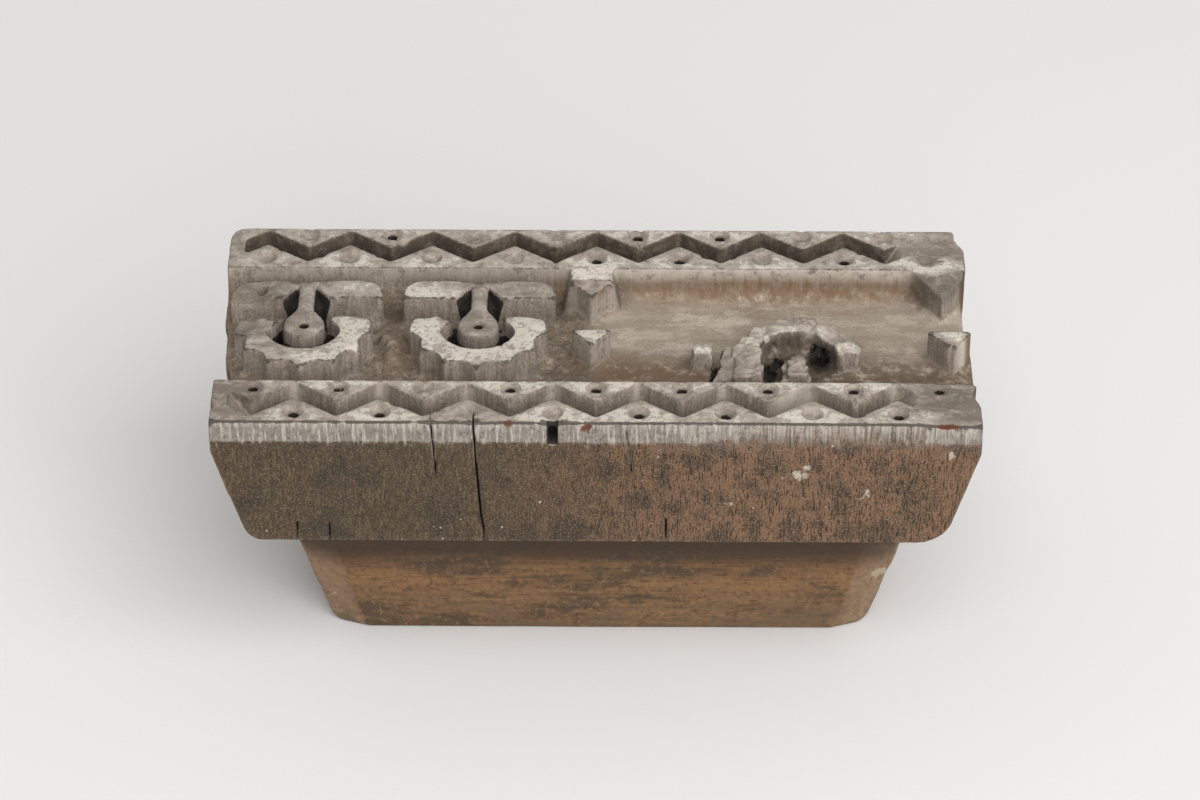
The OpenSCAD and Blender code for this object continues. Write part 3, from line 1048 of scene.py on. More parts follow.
    def leave_feet(self, solid: CarvingField) -> None:
        """Leaves rounded feet where the chisel did not clear the field's edges and the foot of each wall.

        Args:
            solid: Field to change.
        """
        end, blur, growth = self.past_end, 1.1, 1.2
        for side, radius in ((1, 4.5), (-1, 2.5)):
            wall = side * self.field_half
            far = wall - side * radius
            near = solid.part((-end, min(wall, far), self.ground - 1),
                              (end, max(wall, far), self.ground + radius))
            _, y, z = near.axes()
            near.fill(radius - np.hypot(y - far, z - self.ground - radius))
        sunk = solid.part((-end, -self.field_half, self.ground - 3), (end, self.field_half, self.top - 5))
        sunk.values += growth * np.minimum(sunk.blurred(blur) - sunk.values, 0)

    def leave_bridge(self, solid: CarvingField) -> None:
        """Leaves a sagging bridge between the rear prism and its strip, with a thin gap across it.

        Args:
            solid: Field to change.
        """
        half, flare, drop, sag, sag_y = 5.6, 0.25, 0.6, 0.04, 24
        gap_y, gap_half, gap_d = self.bridge_gap.start[1], 0.4, 1.4
        bridge = self.over(solid, (-12, 10), (19, self.field_half + 1))
        x, y, z = bridge.axes()
        bridge.fill(np.maximum(np.abs(x - self.prism_x) - half - flare * (self.top - z),
                               z - self.top + drop - sag * (y - sag_y) ** 2))
        bridge.cut(np.maximum(np.abs(y - gap_y) - gap_half, self.top - gap_d - z))

    def leave_mounds(self, solid: CarvingField) -> None:
        """Leaves low crumbly mounds on the ground.

        Args:
            solid: Field to change.
        """
        grit, roughness, steep = (Rough((2.4, 2.4, 99.0), 32), Rough((1.1, 1.1, 99.0), 33, 0.7)), 0.25, 0.8
        for x0, y0, half_x, half_y, height in self.mounds:
            mound = solid.part((x0 - 3 * half_x, y0 - 3 * half_y, self.ground - 2),
                               (x0 + 3 * half_x, y0 + 3 * half_y, self.ground + height + 1))
            x, y, z = mound.axes()
            rise = height * np.exp(-((x - x0) / half_x) ** 2 - ((y - y0) / half_y) ** 2)
            rise = rise * (1 + roughness * mound.noise(*grit))
            mound.fill(np.maximum(steep * (z - self.ground - rise), np.abs(y) - self.field_half))

    def rub_surfaces(self, solid: CarvingField) -> None:
        """Rounds and chips the edges, flutes the walls along the grain and gouges the ground.

        Args:
            solid: Field to change.
        """
        rounding, edge_blur, least_chip, chip_d = 0.35, 1.6, 0.06, 0.45
        flute_d, pit_d, side_d, gouge_d = 0.06, 0.03, 0.08, 0.1
        x, y, z = solid.axes()
        soft = solid.blurred(rounding)
        edge = np.clip(solid.blurred(edge_blur) - solid.values, 0, 1)
        slope = np.gradient(soft, solid.step, axis=2)
        upright = 1 - np.clip(np.abs(slope), 0, 1)
        lumps, crumbs, flutes = [solid.noise(rough) for rough in (self.lumps, self.crumbs, self.flutes)]
        relief = smooth(self.ground - 2, self.ground + 1, z)
        # The zigzag leaves thin walls along the strips' sides, which chips would break through.
        rim = np.minimum(np.abs(self.high[1] - np.abs(y)), np.abs(np.abs(y) - self.field_half))
        chips = least_chip + chip_d * smooth(0.45, 0.95, lumps + 0.4 * crumbs)
        chips = chips * (0.3 + 0.7 * smooth(1.2, 2.8, rim)) * (0.05 + 0.95 * relief)
        solid.values[:] = soft + edge * chips
        solid.values += (flute_d + flute_d * flutes) * upright * relief + pit_d * (1 + crumbs)
        solid.values += (1 - relief) * upright * (side_d + solid.noise(self.swells))
        inside = smooth(self.field_half + 0.5, self.field_half - 1.5, np.abs(y))
        low = smooth(self.ground + 4.5, self.ground + 2.0, z) * inside * np.clip(slope, 0, 1)
        right = smooth(-6, 6, x)
        scrape = solid.noise(Rough((21.0, 2.8, 9.0), 15, 0.3), Rough((12.0, 7.0, 9.0), 16, 0.35))
        solid.values += low * (right * scrape + (1 - right) * (0.6 * lumps + 0.35 * crumbs) + gouge_d)

    def wear_face(self, solid: CarvingField) -> None:
        """Wears the printing face uneven, most at the strips' right ends and on the first motif.

        Args:
            solid: Field to change.
        """
        wear, least, end_wear = 0.2, 0.05, 0.9
        x, y, z = solid.axes()
        flat = CarvingField(solid.low, solid.step, solid.values[:, :, :1])
        dips = wear + flat.noise(Rough((14.0, 12.0, 9.0), 21, 0.14))
        dips = dips + flat.noise(Rough((2.6, 2.6, 9.0), 22, 0.05))
        on_strip = smooth(self.field_half - 1, self.field_half + 2, np.abs(y))
        end = smooth(76, 101, x) * on_strip * smooth(46, 40, y)
        dips = dips + end * (end_wear + flat.noise(Rough((6.0, 4.0, 9.0), 23, 0.8)))
        solid.keep(z - self.top + np.maximum(dips, least))
        # The first motif's left leaf is worn down towards the front.
        leaf_right, leaf_full, leaf_rear, leaf_d, leaf_fall = -82, -93, 20.8, 0.6, 0.3
        leaf = self.over(solid, (-self.past_end, leaf_right), (9, 22), 1)
        x, y, z = leaf.axes()
        rough = leaf.noise(Rough((3.0, 2.2, 99.0), 34, 0.5))
        fall = leaf_d + leaf_fall * (leaf_rear - y) + rough
        leaf.keep(z - self.top + smooth(leaf_right, leaf_full, x) * fall)
        # The left end of its horseshoe is worn down to the left.
        horn_x, horn_front, horn_full, horn_d, horn_fall = -86, -9, 0, 1.1, 0.12
        horn = self.over(solid, (-self.past_end, -84), (horn_front, 7), 1)
        x, y, z = horn.axes()
        rough = horn.noise(Rough((2.4, 2.4, 99.0), 35, 0.6))
        fall = horn_d + horn_fall * (horn_x - x) + rough
        horn.keep(z - self.top + smooth(horn_front, horn_full, y) * fall)

    def wear_motif(self, solid: CarvingField) -> None:
        """Wears the third motif to ragged remains.

        Args:
            solid: Field to change.
        """
        x0, y0 = self.worn_place
        near = self.over(solid, (x0 - 31, x0 + 19), (y0 - 13, y0 + 19))
        x, y, z = near.axes()
        base = self.ground - 1 - z
        # The left leg spreads towards the front, and the core swells there and ends in two knobs.
        leg_left, leg_right, leg_spread, leg_front, leg_rear = 33.5, 43.4, 0.28, -19.2, -5
        leg_z, leg_fall = 81.2, 0.22
        leg = meet(leg_left + leg_spread * (y - y0) - x, x - leg_right, leg_front - y, y - leg_rear)
        near.fill(meet(leg, z - leg_z + leg_fall * (leg_right - x), base))
        core_x, core_half, core_swell, core_front, core_rear, core_z = 52.3, 2.0, 0.17, -19.5, -8, 78.6
        core = np.abs(x - core_x) - core_half + core_swell * (y - core_rear)
        near.fill(meet(core, core_front - y, y - core_rear, z - core_z, base))
        for knob_x, knob_y, knob_z, knob_r in ((53.4, -8.6, 77.6, 2.2), (50.9, -11.8, 78.0, 2.0)):
            near.fill(np.sqrt((x - knob_x) ** 2 + (y - knob_y) ** 2 + (z - knob_z) ** 2) - knob_r)
        above = smooth(self.ground + 0.5, self.ground + 2.5, z)
        bite = near.noise(Rough((3.2, 3.2, 7.0), 26, 0.9), Rough((1.2, 1.2, 4.0), 27, 0.55))
        near.values += above * np.clip(bite - 0.15, -0.6, 1.5)
        wear, least, dip_x, dip_y, dip_half_x, dip_half_y, dip_d = 2.6, 1.0, 65, 0.5, 4, 4.5, 2.6
        ragged = wear + near.noise(Rough((6.0, 4.5, 99.0), 24, 1.3))
        ragged = ragged + near.noise(Rough((5.0, 1.3, 99.0), 25, 0.7))
        ragged += dip_d * np.exp(-((x - dip_x) / dip_half_x) ** 2 - ((y - dip_y) / dip_half_y) ** 2)
        near.keep(z - self.top + np.maximum(ragged, least))

    def sink_hollows(self, solid: CarvingField) -> None:
        """Sinks ragged hollows into the ground inside the worn motif.

        Args:
            solid: Field to change.
        """
        grit, room = (Rough((2.2, 2.2, 6.0), 28, 0.6), Rough((0.9, 0.9, 3.0), 29, 0.5)), 2
        for x0, y0, half_x, half_y, depth in self.hollows:
            pit = solid.part((x0 - half_x - room, y0 - half_y - room, self.ground - depth - room),
                             (x0 + half_x + room, y0 + half_y + room, self.ground + room))
            x, y, z = pit.axes()
            away = np.hypot((x - x0) / half_x, (y - y0) / half_y) - 1 + pit.noise(*grit)
            pit.cut(np.maximum(away * min(half_x, half_y), self.ground - depth - z))

    def break_ends(self, solid: CarvingField) -> None:
        """Breaks the ends of the field away and nicks the strips' ends.

        Args:
            solid: Field to change.
        """
        loss, round_r, slant = 0.12, 4.0, 1.05
        x, y, z = solid.axes()
        rough = solid.noise(Rough((9.0, 3.2, 5.0), 31, 0.12))
        solid.keep(self.low[0] + bites(y, self.left_bites) * smooth(58, 70, z) + loss + rough - x)
        corner = solid.part((-self.past_end, -47, 44), (-78, 47, 60))
        across, _, height = corner.axes()
        from_end = (across - self.low[0] - self.drawn_in(height)) / slant
        below, outside = round_r - height + self.bottom, round_r - from_end
        corner.keep(np.hypot(np.maximum(below, 0), np.maximum(outside, 0)) - round_r)
        solid.keep(x - self.high[0] + bites(y, self.right_bites) * smooth(60, 74, z) + loss + rough)

    def split_front(self, solid: CarvingField) -> None:
        """Opens the drying cracks in the front face, along the grain.

        Args:
            solid: Field to change.
        """
        main, hair, taper, room = 0.27, 0.23, 6.0, 4
        # Place, drift to the right, half width, upper and lower end, and depth of each crack.
        cracks = ((-31.9, 2.7, main, self.top, self.bottom, 8.0), (-42.7, 2.2, hair, self.top, 65.6, 5.0),
                  (7.4, 4.5, hair, 80.0, 66.0, 1.5), (-78.2, 0.3, hair, 50.5, self.bottom, 3.0),
                  (-69.7, 0.2, hair, 50.0, self.bottom, 3.0), (18.1, 0.3, hair, 52.0, self.bottom, 3.0))
        for start, drift, half, high, low, deep in cracks:
            near = solid.part((start - room, self.front - 1, low - room),
                              (start + drift + room, self.front + deep + 1, high + 1))
            x, y, z = near.axes()
            wander = near.noise(Rough((99.0, 99.0, taper), int(abs(start) * 10), 0.3))
            line = start + drift * (self.top - z) / (self.top - self.bottom) + wander
            inward = y - self.front
            reach = half * np.clip((z - low + 2) / taper, 0, 1) * np.clip(1.2 - inward / deep, 0, 1)
            near.cut(np.maximum(np.abs(x - line) - reach, inward - deep))

    def masks(self, solid: CarvingField, piece: bpy.types.Object) -> dict[str, np.ndarray]:
        """Works out where the finish changes.

        Args:
            solid: Field of the worn slab.
            piece: Worn slab.

        Returns:
            Values from 0 to 1 on the slab's vertices, by name.
        """
        close_blur, wide_blur = 0.8, 3.2
        points, normals = vertex_rows(piece, "co") / MM, vertex_rows(piece, "normal")
        x, y, z = points.T
        up, ground, top, half = normals[:, 2], self.ground, self.top, self.field_half
        close, wide = solid.crowding(close_blur, points), solid.crowding(wide_blur, points)
        # Plain sides, and the carving that is left.
        front = smooth(0.5, 0.8, -normals[:, 1]) * smooth(self.front + 2.0, self.front + 1.0, y)
        rear = smooth(0.5, 0.8, normals[:, 1]) * smooth(self.high[1] - 2.0, self.high[1] - 1.0, y)
        reach = np.abs(x) + self.drawn_in(z)
        ends = smooth(0.45, 0.8, np.abs(normals[:, 0])) * smooth(97, 98.5, reach)
        ends = np.maximum(ends, 0.7 * smooth(99.0, 99.9, reach))
        plain = np.clip(front + ends + rear + smooth(ground - 2.5, ground - 4.5, z), 0, 1)
        carved = 1 - plain
        # Tops, ground and walls of the carving.
        in_field = smooth(half + 1, half - 1, np.abs(y))
        worn = cover(points, [Patch((*self.worn_place, top - 3), (22, 15, 8)),
                              Patch((28, -7.3, top - 4), (4, 4, 4))]) * in_field
        leg = cover(points, [Patch((38, -14, top - 4), (6, 7, 7)), Patch((52.5, -13, top - 5), (4, 7, 6))])
        face = smooth(0.45, 0.8, up) * smooth(top - 2.4, top - 1.2, z)
        crest = smooth(0.3, 0.6, up) * smooth(ground + 3.0, ground + 4.5, z) * worn
        floor = smooth(0.3, 0.7, up) * smooth(ground + 4.5, ground + 2.5, z) * in_field
        wall = smooth(0.6, 0.3, up)
        rear_wall = np.exp(-((y - half) / 1.6) ** 4) * wall
        # The rear groove's walls and the low ground inside the worn motif get painted shade.
        groove = smooth(half + 1, half + 2, y) * smooth(0.5, 0.2, up) * carved
        inner = smooth(12.0, 10.0, np.hypot(x - self.worn_place[0], y - self.worn_place[1] - 1)) * in_field
        # Paste on the tops keeps clear of the dots, and on the front it ends at a straight edge.
        ring = np.ones(len(points))
        for _, x0, y0, _ in self.dots():
            ring = np.minimum(ring, smooth(2.4, 3.2, np.hypot(x - x0, y - y0)))
        thick = 0.22 + 0.78 * cover(points, self.paste_patches())
        thin = 1 - 0.6 * smooth(22, 50, x) * smooth(90, 82, x)
        right = smooth(8, 30, x)
        below_band = smooth(self.band_edge_z, self.band_edge_z - 2, z)
        splashes = [Patch((53, self.front, 68), (6, 9, 4)), Patch((-60, self.front, 48), (40, 9, 2.5), 0.5)]
        # Cut edges stand free of the wood around them.
        edge = smooth(0.46, 0.30, close)
        rim = edge * smooth(top - 2.5, top - 1.2, z) * smooth(-0.2, 0.2, up)
        line = np.maximum(0.48 + 0.17 * in_field, smooth(self.front + 1.6, self.front + 0.8, y))
        return {
            "carved": carved,
            "top": np.maximum(face, 0.7 * crest),
            "floor": floor * carved,
            "bare": floor * smooth(-6, 8, x) * carved,
            "brown": floor * smooth(6, -10, y) * smooth(-10, 6, x),
            # Painted brown shade in hollows and on the rear groove's walls, with grime on some tops.
            "shade": inner * smooth(ground + 7.0, ground + 4.0, z) + cover(points, self.shade_and_grime_patches()) + groove,
            "pale": rear_wall * smooth(top - 6, top - 3, z) * (0.4 + 0.6 * smooth(-2, 8, x))
            + cover(points, self.pale_patches()) * wall * carved,
            "ends": ends,
            "pores": plain * (0.35 + 0.65 * smooth(-30, 20, x)),
            "ruddy": front * smooth(-40, 45, x),
            "paste": face * ring * thick + 0.58 * crest * (1 - 0.6 * leg),
            "band": front * smooth(-0.4, 0.4, z - self.band_edge_z + 0.25 * np.sin(0.4 * x)) * thin,
            "crust": front * thin * np.clip(0.5 + (z - self.band_edge_z) / 8, 0, 1),
            "warm": cover(points, self.warm_patches()) * carved,
            # Black in deep places, partly grime and partly painted shade: in crowded hollows, in enclosed
            # cracks and in the deep gaps.
            "soot": 0.75 * smooth(0.62, 0.86, wide) * carved + smooth(0.7, 0.9, close)
            + self.gap_grime_and_shade(points),
            "lip": front * (0.65 * (1 - right) * smooth(79.5, 83.4, z)
                            + 0.8 * right * smooth(73.0, 84.0, z)),
            # Thin dark lines along the top edges and across the bridge's gap, partly dark dye and partly
            # painted shadow.
            "edge": rim * line + cover(points, [self.bridge_gap]),
            # The slab's lower edges get a pale line, partly wear and partly painted highlight.
            "worn": edge * smooth(self.bottom + 5, self.bottom + 1, z),
            "rust": cover(points, self.rust_patches()),
            "scuff": front * cover(points, self.scuffs()),
            "flecks": front * below_band * (0.06 + cover(points, splashes)),
        }

    def gap_grime_and_shade(self, points: np.ndarray) -> np.ndarray:
        """Works out where deep gaps are painted black, partly as grime and partly as painted shade.

        Args:
            points: Points on the slab, in millimetres.

        Returns:
            Weight beside the stems, round the bulbs, in the dots and in the worn motif's hollows.
        """
        x, y, z = points.T
        top, total = self.top, np.zeros(len(points))
        for middle in self.motif_x:
            # The gaps beside the stems and round the bulbs are painted black, partly grime and partly painted
            # shade.
            side, away = np.abs(x - middle), np.hypot(x - middle, y - self.bulb_y)
            beside = smooth(1.7, 2.3, side) * smooth(0.9, 0.2, side - self.gap_side(y, z))
            beside = beside * smooth(5, 9, y) * smooth(20, 19, y) * smooth(top - 0.7, top - 2.2, z)
            around = smooth(4.6, 5.4, away) * smooth(9.6, 8.4, side) * smooth(12.0, 9.0, y)
            around = around * smooth(-9, -6, y) * smooth(top - 3.5, top - 6.0, z)
            total += np.maximum(beside, around)
            total += smooth(2.0, 1.3, away) * smooth(top - 1.2, top - 2.0, z)
        # The slot of the burst dot is painted black inside as shade, but not the wood over its ceiling.
        ceiling_z, burst_x = 81.6, -0.5 * self.zig_pitch
        aside, inward = np.abs(x - burst_x), y - self.front
        behind = np.where(z > ceiling_z, smooth(2.3, 1.8, inward), smooth(7, 5, inward))
        slot = smooth(1.8, 1.3, aside) * smooth(0.2, 0.6, inward) * behind
        total += slot * smooth(76, 77, z) * smooth(84.0, 83.6, z)
        # The dots' bores are painted black below the face, as shade.
        for _, x0, y0, _ in self.dots():
            total += smooth(1.6, 1.2, np.hypot(x - x0, y - y0)) * smooth(top - 1.1, top - 1.9, z)
        # The worn motif's hollows are painted black, partly grime and partly painted shade.
        for x0, y0, half_x, half_y, _ in self.hollows:
            away = np.hypot((x - x0) / half_x, (y - y0) / half_y)
            total += 0.9 * smooth(2.0, 0.7, away) * smooth(self.ground + 5.0, self.ground + 1.0, z)
        return total

    def paste_patches(self) -> list[Patch]:
        """Places where the paste lies thick on the printing face.

        Returns:
            The patches, on the strips by their dots and on the motifs.
        """
        by_dot = {"front_near": (0.45, 0.8, 0.1, 1.0, 1.0, 0.4, 1.0, 0.5),
                  "front_far": (0.15, 0.8, 0.4, 1.0, 0.8, 0.45, 0.6, 0.95, 0.0),
                  "rear_near": (0.35, 0.6, 0.6, 0.3, 0.6, 0.45, 0.6, 0.4, 1.0),
                  "rear_far": (0.4, 0.5, 0.35, 0.4, 0.6, 0.6, 0.45, 0.5)}
        outward = {"front_near": -1.6, "front_far": 1.8, "rear_near": -1.8, "rear_far": 1.6}
        first, dot_reach, reach_z = -4, (8.5, 3.2, 4), 4
        marks = [Patch((x, y + outward[row], self.top), dot_reach, by_dot[row][number - first])
                 for row, x, y, number in self.dots()]
        # Place, reach along X and Y, and strength.
        motifs = [(-65, -5, 5, 8, 1), (-72, -15, 8, 4, 0.6), (-46, -4, 5, 7, 1), (-36, -14, 13, 5, 0.65),
                  (-18, -6, 6, 9, 1), (-46, 16, 8, 4, 0.5), (-63, 17, 6, 3, 0.4), (-89, -10, 4, 6, 0.15)]
        prisms = [(self.prism_x, 17, 5, 4, 0.15), (self.prism_x, 24.6, 7, 2.2, 1),
                  (self.prism_x, -5, 6, 4, 0.9), (94, -4.5, 3, 2.2, 1)]
        return marks + [Patch((x, y, self.top), (a, b, reach_z), s) for x, y, a, b, s in motifs + prisms]

    def pale_patches(self) -> list[Patch]:
        """Places where walls are bleached or coated.

        Returns:
            The patches, on the grooves' peaks, one groove wall and the prisms.
        """
        peaks = [Patch(((k + 0.5) * self.zig_pitch, -27.8, 80), (2.2, 1.6, 4.5), 0.7) for k in range(-4, 4)]
        prisms = [Patch((self.prism_x, y, 79), (8, 7, 6), 0.35) for y in (16, -7)]
        walls = [Patch((50, -32, 80), (5, 4, 5), 0.9), Patch((97.5, -7, 79), (2.5, 5, 6), 0.8)]
        return peaks + walls + prisms

    def warm_patches(self) -> list[Patch]:
        """Places where the bare ground shows a warm brown stain.

        Returns:
            The patches, along the rear strip's foot, by the prisms and between the motifs.
        """
        ground, foot = self.ground, self.ground + 3
        return [Patch((48, 26, foot), (46, 4, 3.2), 0.95), Patch((-12, 22, foot), (4, 5, 4), 0.7),
                Patch((10, -8, ground), (14, 6, 3), 0.5), Patch((-53, -4, ground), (4, 10, 3), 0.4),
                Patch((self.prism_x, 17.5, self.top), (5, 4, 2), 0.8)]

    def shade_and_grime_patches(self) -> list[Patch]:
        """Places where the ground gets painted brown shade and the tops are grimy.

        Returns:
            The patches, on the bulbs, on the ground and on the printing face's ends.
        """
        ground, top = self.ground, self.top
        bulbs = [Patch((middle, self.bulb_y, top), (6, 6, 4), 0.3) for middle in self.motif_x]
        low = [Patch((-11.5, 17, ground + 2), (3.6, 5.5, 5), 0.8),
               Patch((6.5, 23.5, ground + 4), (2.6, 3.5, 4), 0.7),
               Patch((88, 24, ground + 3), (5, 4, 5), 0.7), Patch((67, 3, ground + 1), (4, 3, 3), 0.6),
               Patch((-54.5, 17, ground + 1), (4, 5, 3), 0.7), Patch((-7, -14, ground), (6, 6, 3), 0.5)]
        high = [Patch((93, -36, top), (10, 9, 3), 0.75), Patch((93, 33, top), (9, 10, 3), 0.5),
                Patch((93, 20, top - 1), (7, 6, 3), 0.75), Patch((-94, -33, top), (9, 9, 2), 0.65),
                Patch((-90, 16, top), (10, 6, 3), 0.75), Patch((-94, -4, top), (6, 8, 3), 0.65)]
        return bulbs + low + high

    def rust_patches(self) -> list[Patch]:
        """Places of the small orange stains on the front edge."""
        rows = ((-2, 82.6, 1.2, 0.8, 1.0), (-22.6, 83.4, 1.4, 0.6, 0.8), (91, 83.0, 2.6, 0.6, 1.0))
        return [Patch((x, self.front, z), (wide, 1.5, tall), share) for x, z, wide, tall, share in rows]

    def scuffs(self) -> list[Patch | Scratch]:
        """Places of the pale scuffs and scratches on the front face.

        Returns:
            The scratches and the scuffs.
        """
        front = self.front
        # Ends along X and Z, half width and strength of each scratch.
        rows = ((67, 58.5, 72, 62.5, 0.35, 1.0), (48, 67, 56, 70.5, 0.5, 1.0),
                (30, 57.5, 37, 58.5, 0.3, 0.7), (16, 75.4, 21, 75.7, 0.35, 0.8))
        scratches = [Scratch((x0, front, z0), (x1, front, z1), half, share)
                     for x0, z0, x1, z1, half, share in rows]
        spots = [Patch((53, front, 67.5), (2.2, 2, 1.2), 0.8), Patch((91.6, front, 73.4), (1.2, 2, 0.9))]
        return scratches + spots

    def dress(self, piece: bpy.types.Object, wood: bpy.types.Material) -> None:
        """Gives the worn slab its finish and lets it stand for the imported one."""
        place_piece(piece, wood)
        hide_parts("printing_block")


@dataclass
class PasteFlecks:
    """Crumbs of dried paste, stuck flat to the slab's front."""

    limits: tuple[Any, Any]
    per_square_m: float = 15000.0
    seed: int = 5
    smallest: Triple = (0.12, 0.12, 0.05)
    largest: Triple = (0.45, 0.32, 0.1)

    def tree(self, paste: bpy.types.Material) -> bpy.types.NodeTree:
        """Builds the tree that scatters the crumbs.

        Args:
            paste: Finish of the crumbs.

        Returns:
            The tree, with the crumbs' number, seed and sizes as named inputs.
        """
        tree = bpy.data.node_groups.new("scatter_flecks", "GeometryNodeTree")
        for name, kind in (("Geometry", "Geometry"), ("Density", "Float"), ("Seed", "Int"),
                           ("Smallest", "Vector"), ("Largest", "Vector")):
            tree.interface.new_socket(name, in_out="INPUT", socket_type=f"NodeSocket{kind}")
        tree.interface.new_socket("Geometry", in_out="OUTPUT", socket_type="NodeSocketGeometry")
        add_node(tree, "NodeGroupInput", {"name": "inputs"}, {})
        given = tree.nodes["inputs"].outputs
        where = add_node(tree, "GeometryNodeInputNamedAttribute", {"data_type": "FLOAT"}, {"Name": "flecks"})
        density = add_node(tree, "ShaderNodeMath", {"operation": "MULTIPLY"},
                           {0: where, 1: given["Density"]})
        points = add_node(tree, "GeometryNodeDistributePointsOnFaces", {"name": "scatter"},
                          {"Mesh": given["Geometry"], "Density": density, "Seed": given["Seed"]})
        turned = tree.nodes["scatter"].outputs["Rotation"]
        spin = add_node(tree, "FunctionNodeRandomValue", {"data_type": "FLOAT_VECTOR"},
                        {0: (0, 0, 0), 1: (0, 0, math.tau), "Seed": given["Seed"]})
        turn = add_node(tree, "FunctionNodeRotateRotation", {"rotation_space": "LOCAL"},
                        {0: turned, 1: spin})
        scale = add_node(tree, "FunctionNodeRandomValue", {"data_type": "FLOAT_VECTOR"},
                         {0: given["Smallest"], 1: given["Largest"], "Seed": given["Seed"]})
        crumb = add_node(tree, "GeometryNodeMeshIcoSphere", {}, {"Radius": MM, "Subdivisions": 2})
        crumbs = add_node(tree, "GeometryNodeInstanceOnPoints", {},
                          {"Points": points, "Instance": crumb, "Rotation": turn, "Scale": scale})
        real = add_node(tree, "GeometryNodeRealizeInstances", {}, {"Geometry": crumbs})
        coated = add_node(tree, "GeometryNodeSetMaterial", {}, {"Geometry": real, "Material": paste})
        add_node(tree, "NodeGroupOutput", {}, {"Geometry": coated})
        return tree

    def build(self, slab: bpy.types.Object, paste: bpy.types.Material) -> bpy.types.Object:
        """Scatters the crumbs over the slab.

        Args:
            slab: Worn slab, with the mask that says where crumbs stick.
            paste: Finish of the crumbs.

        Returns:
            All crumbs as one piece.
        """
        tree = self.tree(paste)
        piece = bpy.data.objects.new("paste_flecks", slab.data)
        bpy.context.scene.collection.objects.link(piece)
        scatter = piece.modifiers.new("scatter", "NODES")
        scatter.node_group = tree
        values = {"Density": self.per_square_m, "Seed": self.seed,
                  "Smallest": self.smallest, "Largest": self.largest}
        for item in tree.interface.items_tree:
            if item.in_out == "INPUT" and item.name in values:
                scatter[item.identifier] = values[item.name]
        bake_modifiers(piece)
        points = np.clip(vertex_rows(piece, "co"), np.array(self.limits[0]), np.array(self.limits[1]))
        piece.data.vertices.foreach_set("co", points.astype(np.float32).ravel())
        piece.data.update()
        return piece

    def dress(self, piece: bpy.types.Object, paste: bpy.types.Material) -> None:
        """Gives the crumbs their finish and their place on the body."""
        place_piece(piece, paste)


@dataclass
class BarHandle:
    """Bar below the block, worn round by hands."""

    voxel: float
    most_triangles: int = 60000
    edge_wear: float = 0.35
    lumps: Rough = Rough((12.0, 6.0, 6.0), 41)
    streaks: Rough = Rough(Grain.LENGTHWISE.streak(1.6, 30.0), 42, 0.04)
    swells: Rough = Rough((40.0, 25.0, 18.0), 43, 0.08)

    def build(self) -> bpy.types.Object:
        """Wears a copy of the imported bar.

        Returns:
            The worn bar, with its masks painted on.
        """
        rounding, edge_blur, edge_most, side_wear = 0.45, 2.2, 1.5, 0.18
        low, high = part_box("handle")
        bottom, top = low[2] / MM, high[2] / MM
        solid = CarvingField.of_node("handle", self.voxel)
        z = solid.axis(2)
        soft = solid.blurred(rounding)
        edge = np.clip(solid.blurred(edge_blur) - solid.values, 0, edge_most)
        slope = np.abs(np.gradient(soft, solid.step, axis=2))
        lumps, streaks, swells = [solid.noise(rough) for rough in (self.lumps, self.streaks, self.swells)]
        # The edges by the block and at the foot stay sharper than those that a hand rubs.
        rubbed = edge * (self.edge_wear + 0.3 * lumps)
        rubbed = rubbed * smooth(top - 0.2, top - 3.0, z) * smooth(0.0, 5.0, z - bottom)
        solid.values[:] = soft + rubbed
        side = smooth(0.95, 0.7, slope) * smooth(top - 0.2, top - 2.0, z)
        solid.values += side * (side_wear + 0.05 * lumps + streaks + swells)
        solid.keep(np.maximum(bottom - z, z - top))
        piece = solid.mesh("handle_worn", self.most_triangles)
        paint(piece, self.masks(solid, piece))
        return piece

    def masks(self, solid: CarvingField, piece: bpy.types.Object) -> dict[str, np.ndarray]:
        """Works out where the finish changes.

        Args:
            solid: Field of the worn bar.
            piece: Worn bar.

        Returns:
            Values from 0 to 1 on the bar's vertices, by name.
        """
        corner_blur = 2.5
        points, normals = vertex_rows(piece, "co") / MM, vertex_rows(piece, "normal")
        z, aside = points[:, 2], np.abs(normals[:, 0])
        marks = [Scratch((-83, -19, 31), (-73, -24.5, 21), 0.6), Patch((-70.5, -24, 9.5), (1, 3, 1.2)),
                 Patch((77, -22, 17), (3, 5, 2.5), 0.6)]
        return {
            "facet": smooth(0.2, 0.4, aside),
            "stain": smooth(18, 2, z),
            # Darker towards the block, for dirt and the block's painted shadow, and in the corners as painted
            # shade.
            "dirt": 0.9 * smooth(14, 33, z) * (1 - 0.5 * smooth(0.3, 0.8, aside))
            + smooth(0.62, 0.8, solid.crowding(corner_blur, points)),
            "scuff": cover(points, marks),
        }

    def dress(self, piece: bpy.types.Object, wood: bpy.types.Material) -> None:
        """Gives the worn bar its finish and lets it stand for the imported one."""
        place_piece(piece, wood)
        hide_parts("handle")


@dataclass
class PegRow:
    """Pegs that hold block and handle together, each spread by a wedge."""

    count: int = 4

    def dress(self, peg_wood: bpy.types.Material, wedge_wood: bpy.types.Material) -> None:
        """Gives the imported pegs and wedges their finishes.

        Args:
            peg_wood: Finish of the pegs.
            wedge_wood: Finish of the wedges.
        """
        for number in range(1, self.count + 1):
            for name, wood in ((f"peg_{number}", peg_wood), (f"wedge_{number}", wedge_wood)):
                for slot in frame["nodes"][name].material_slots:
                    slot.material = wood


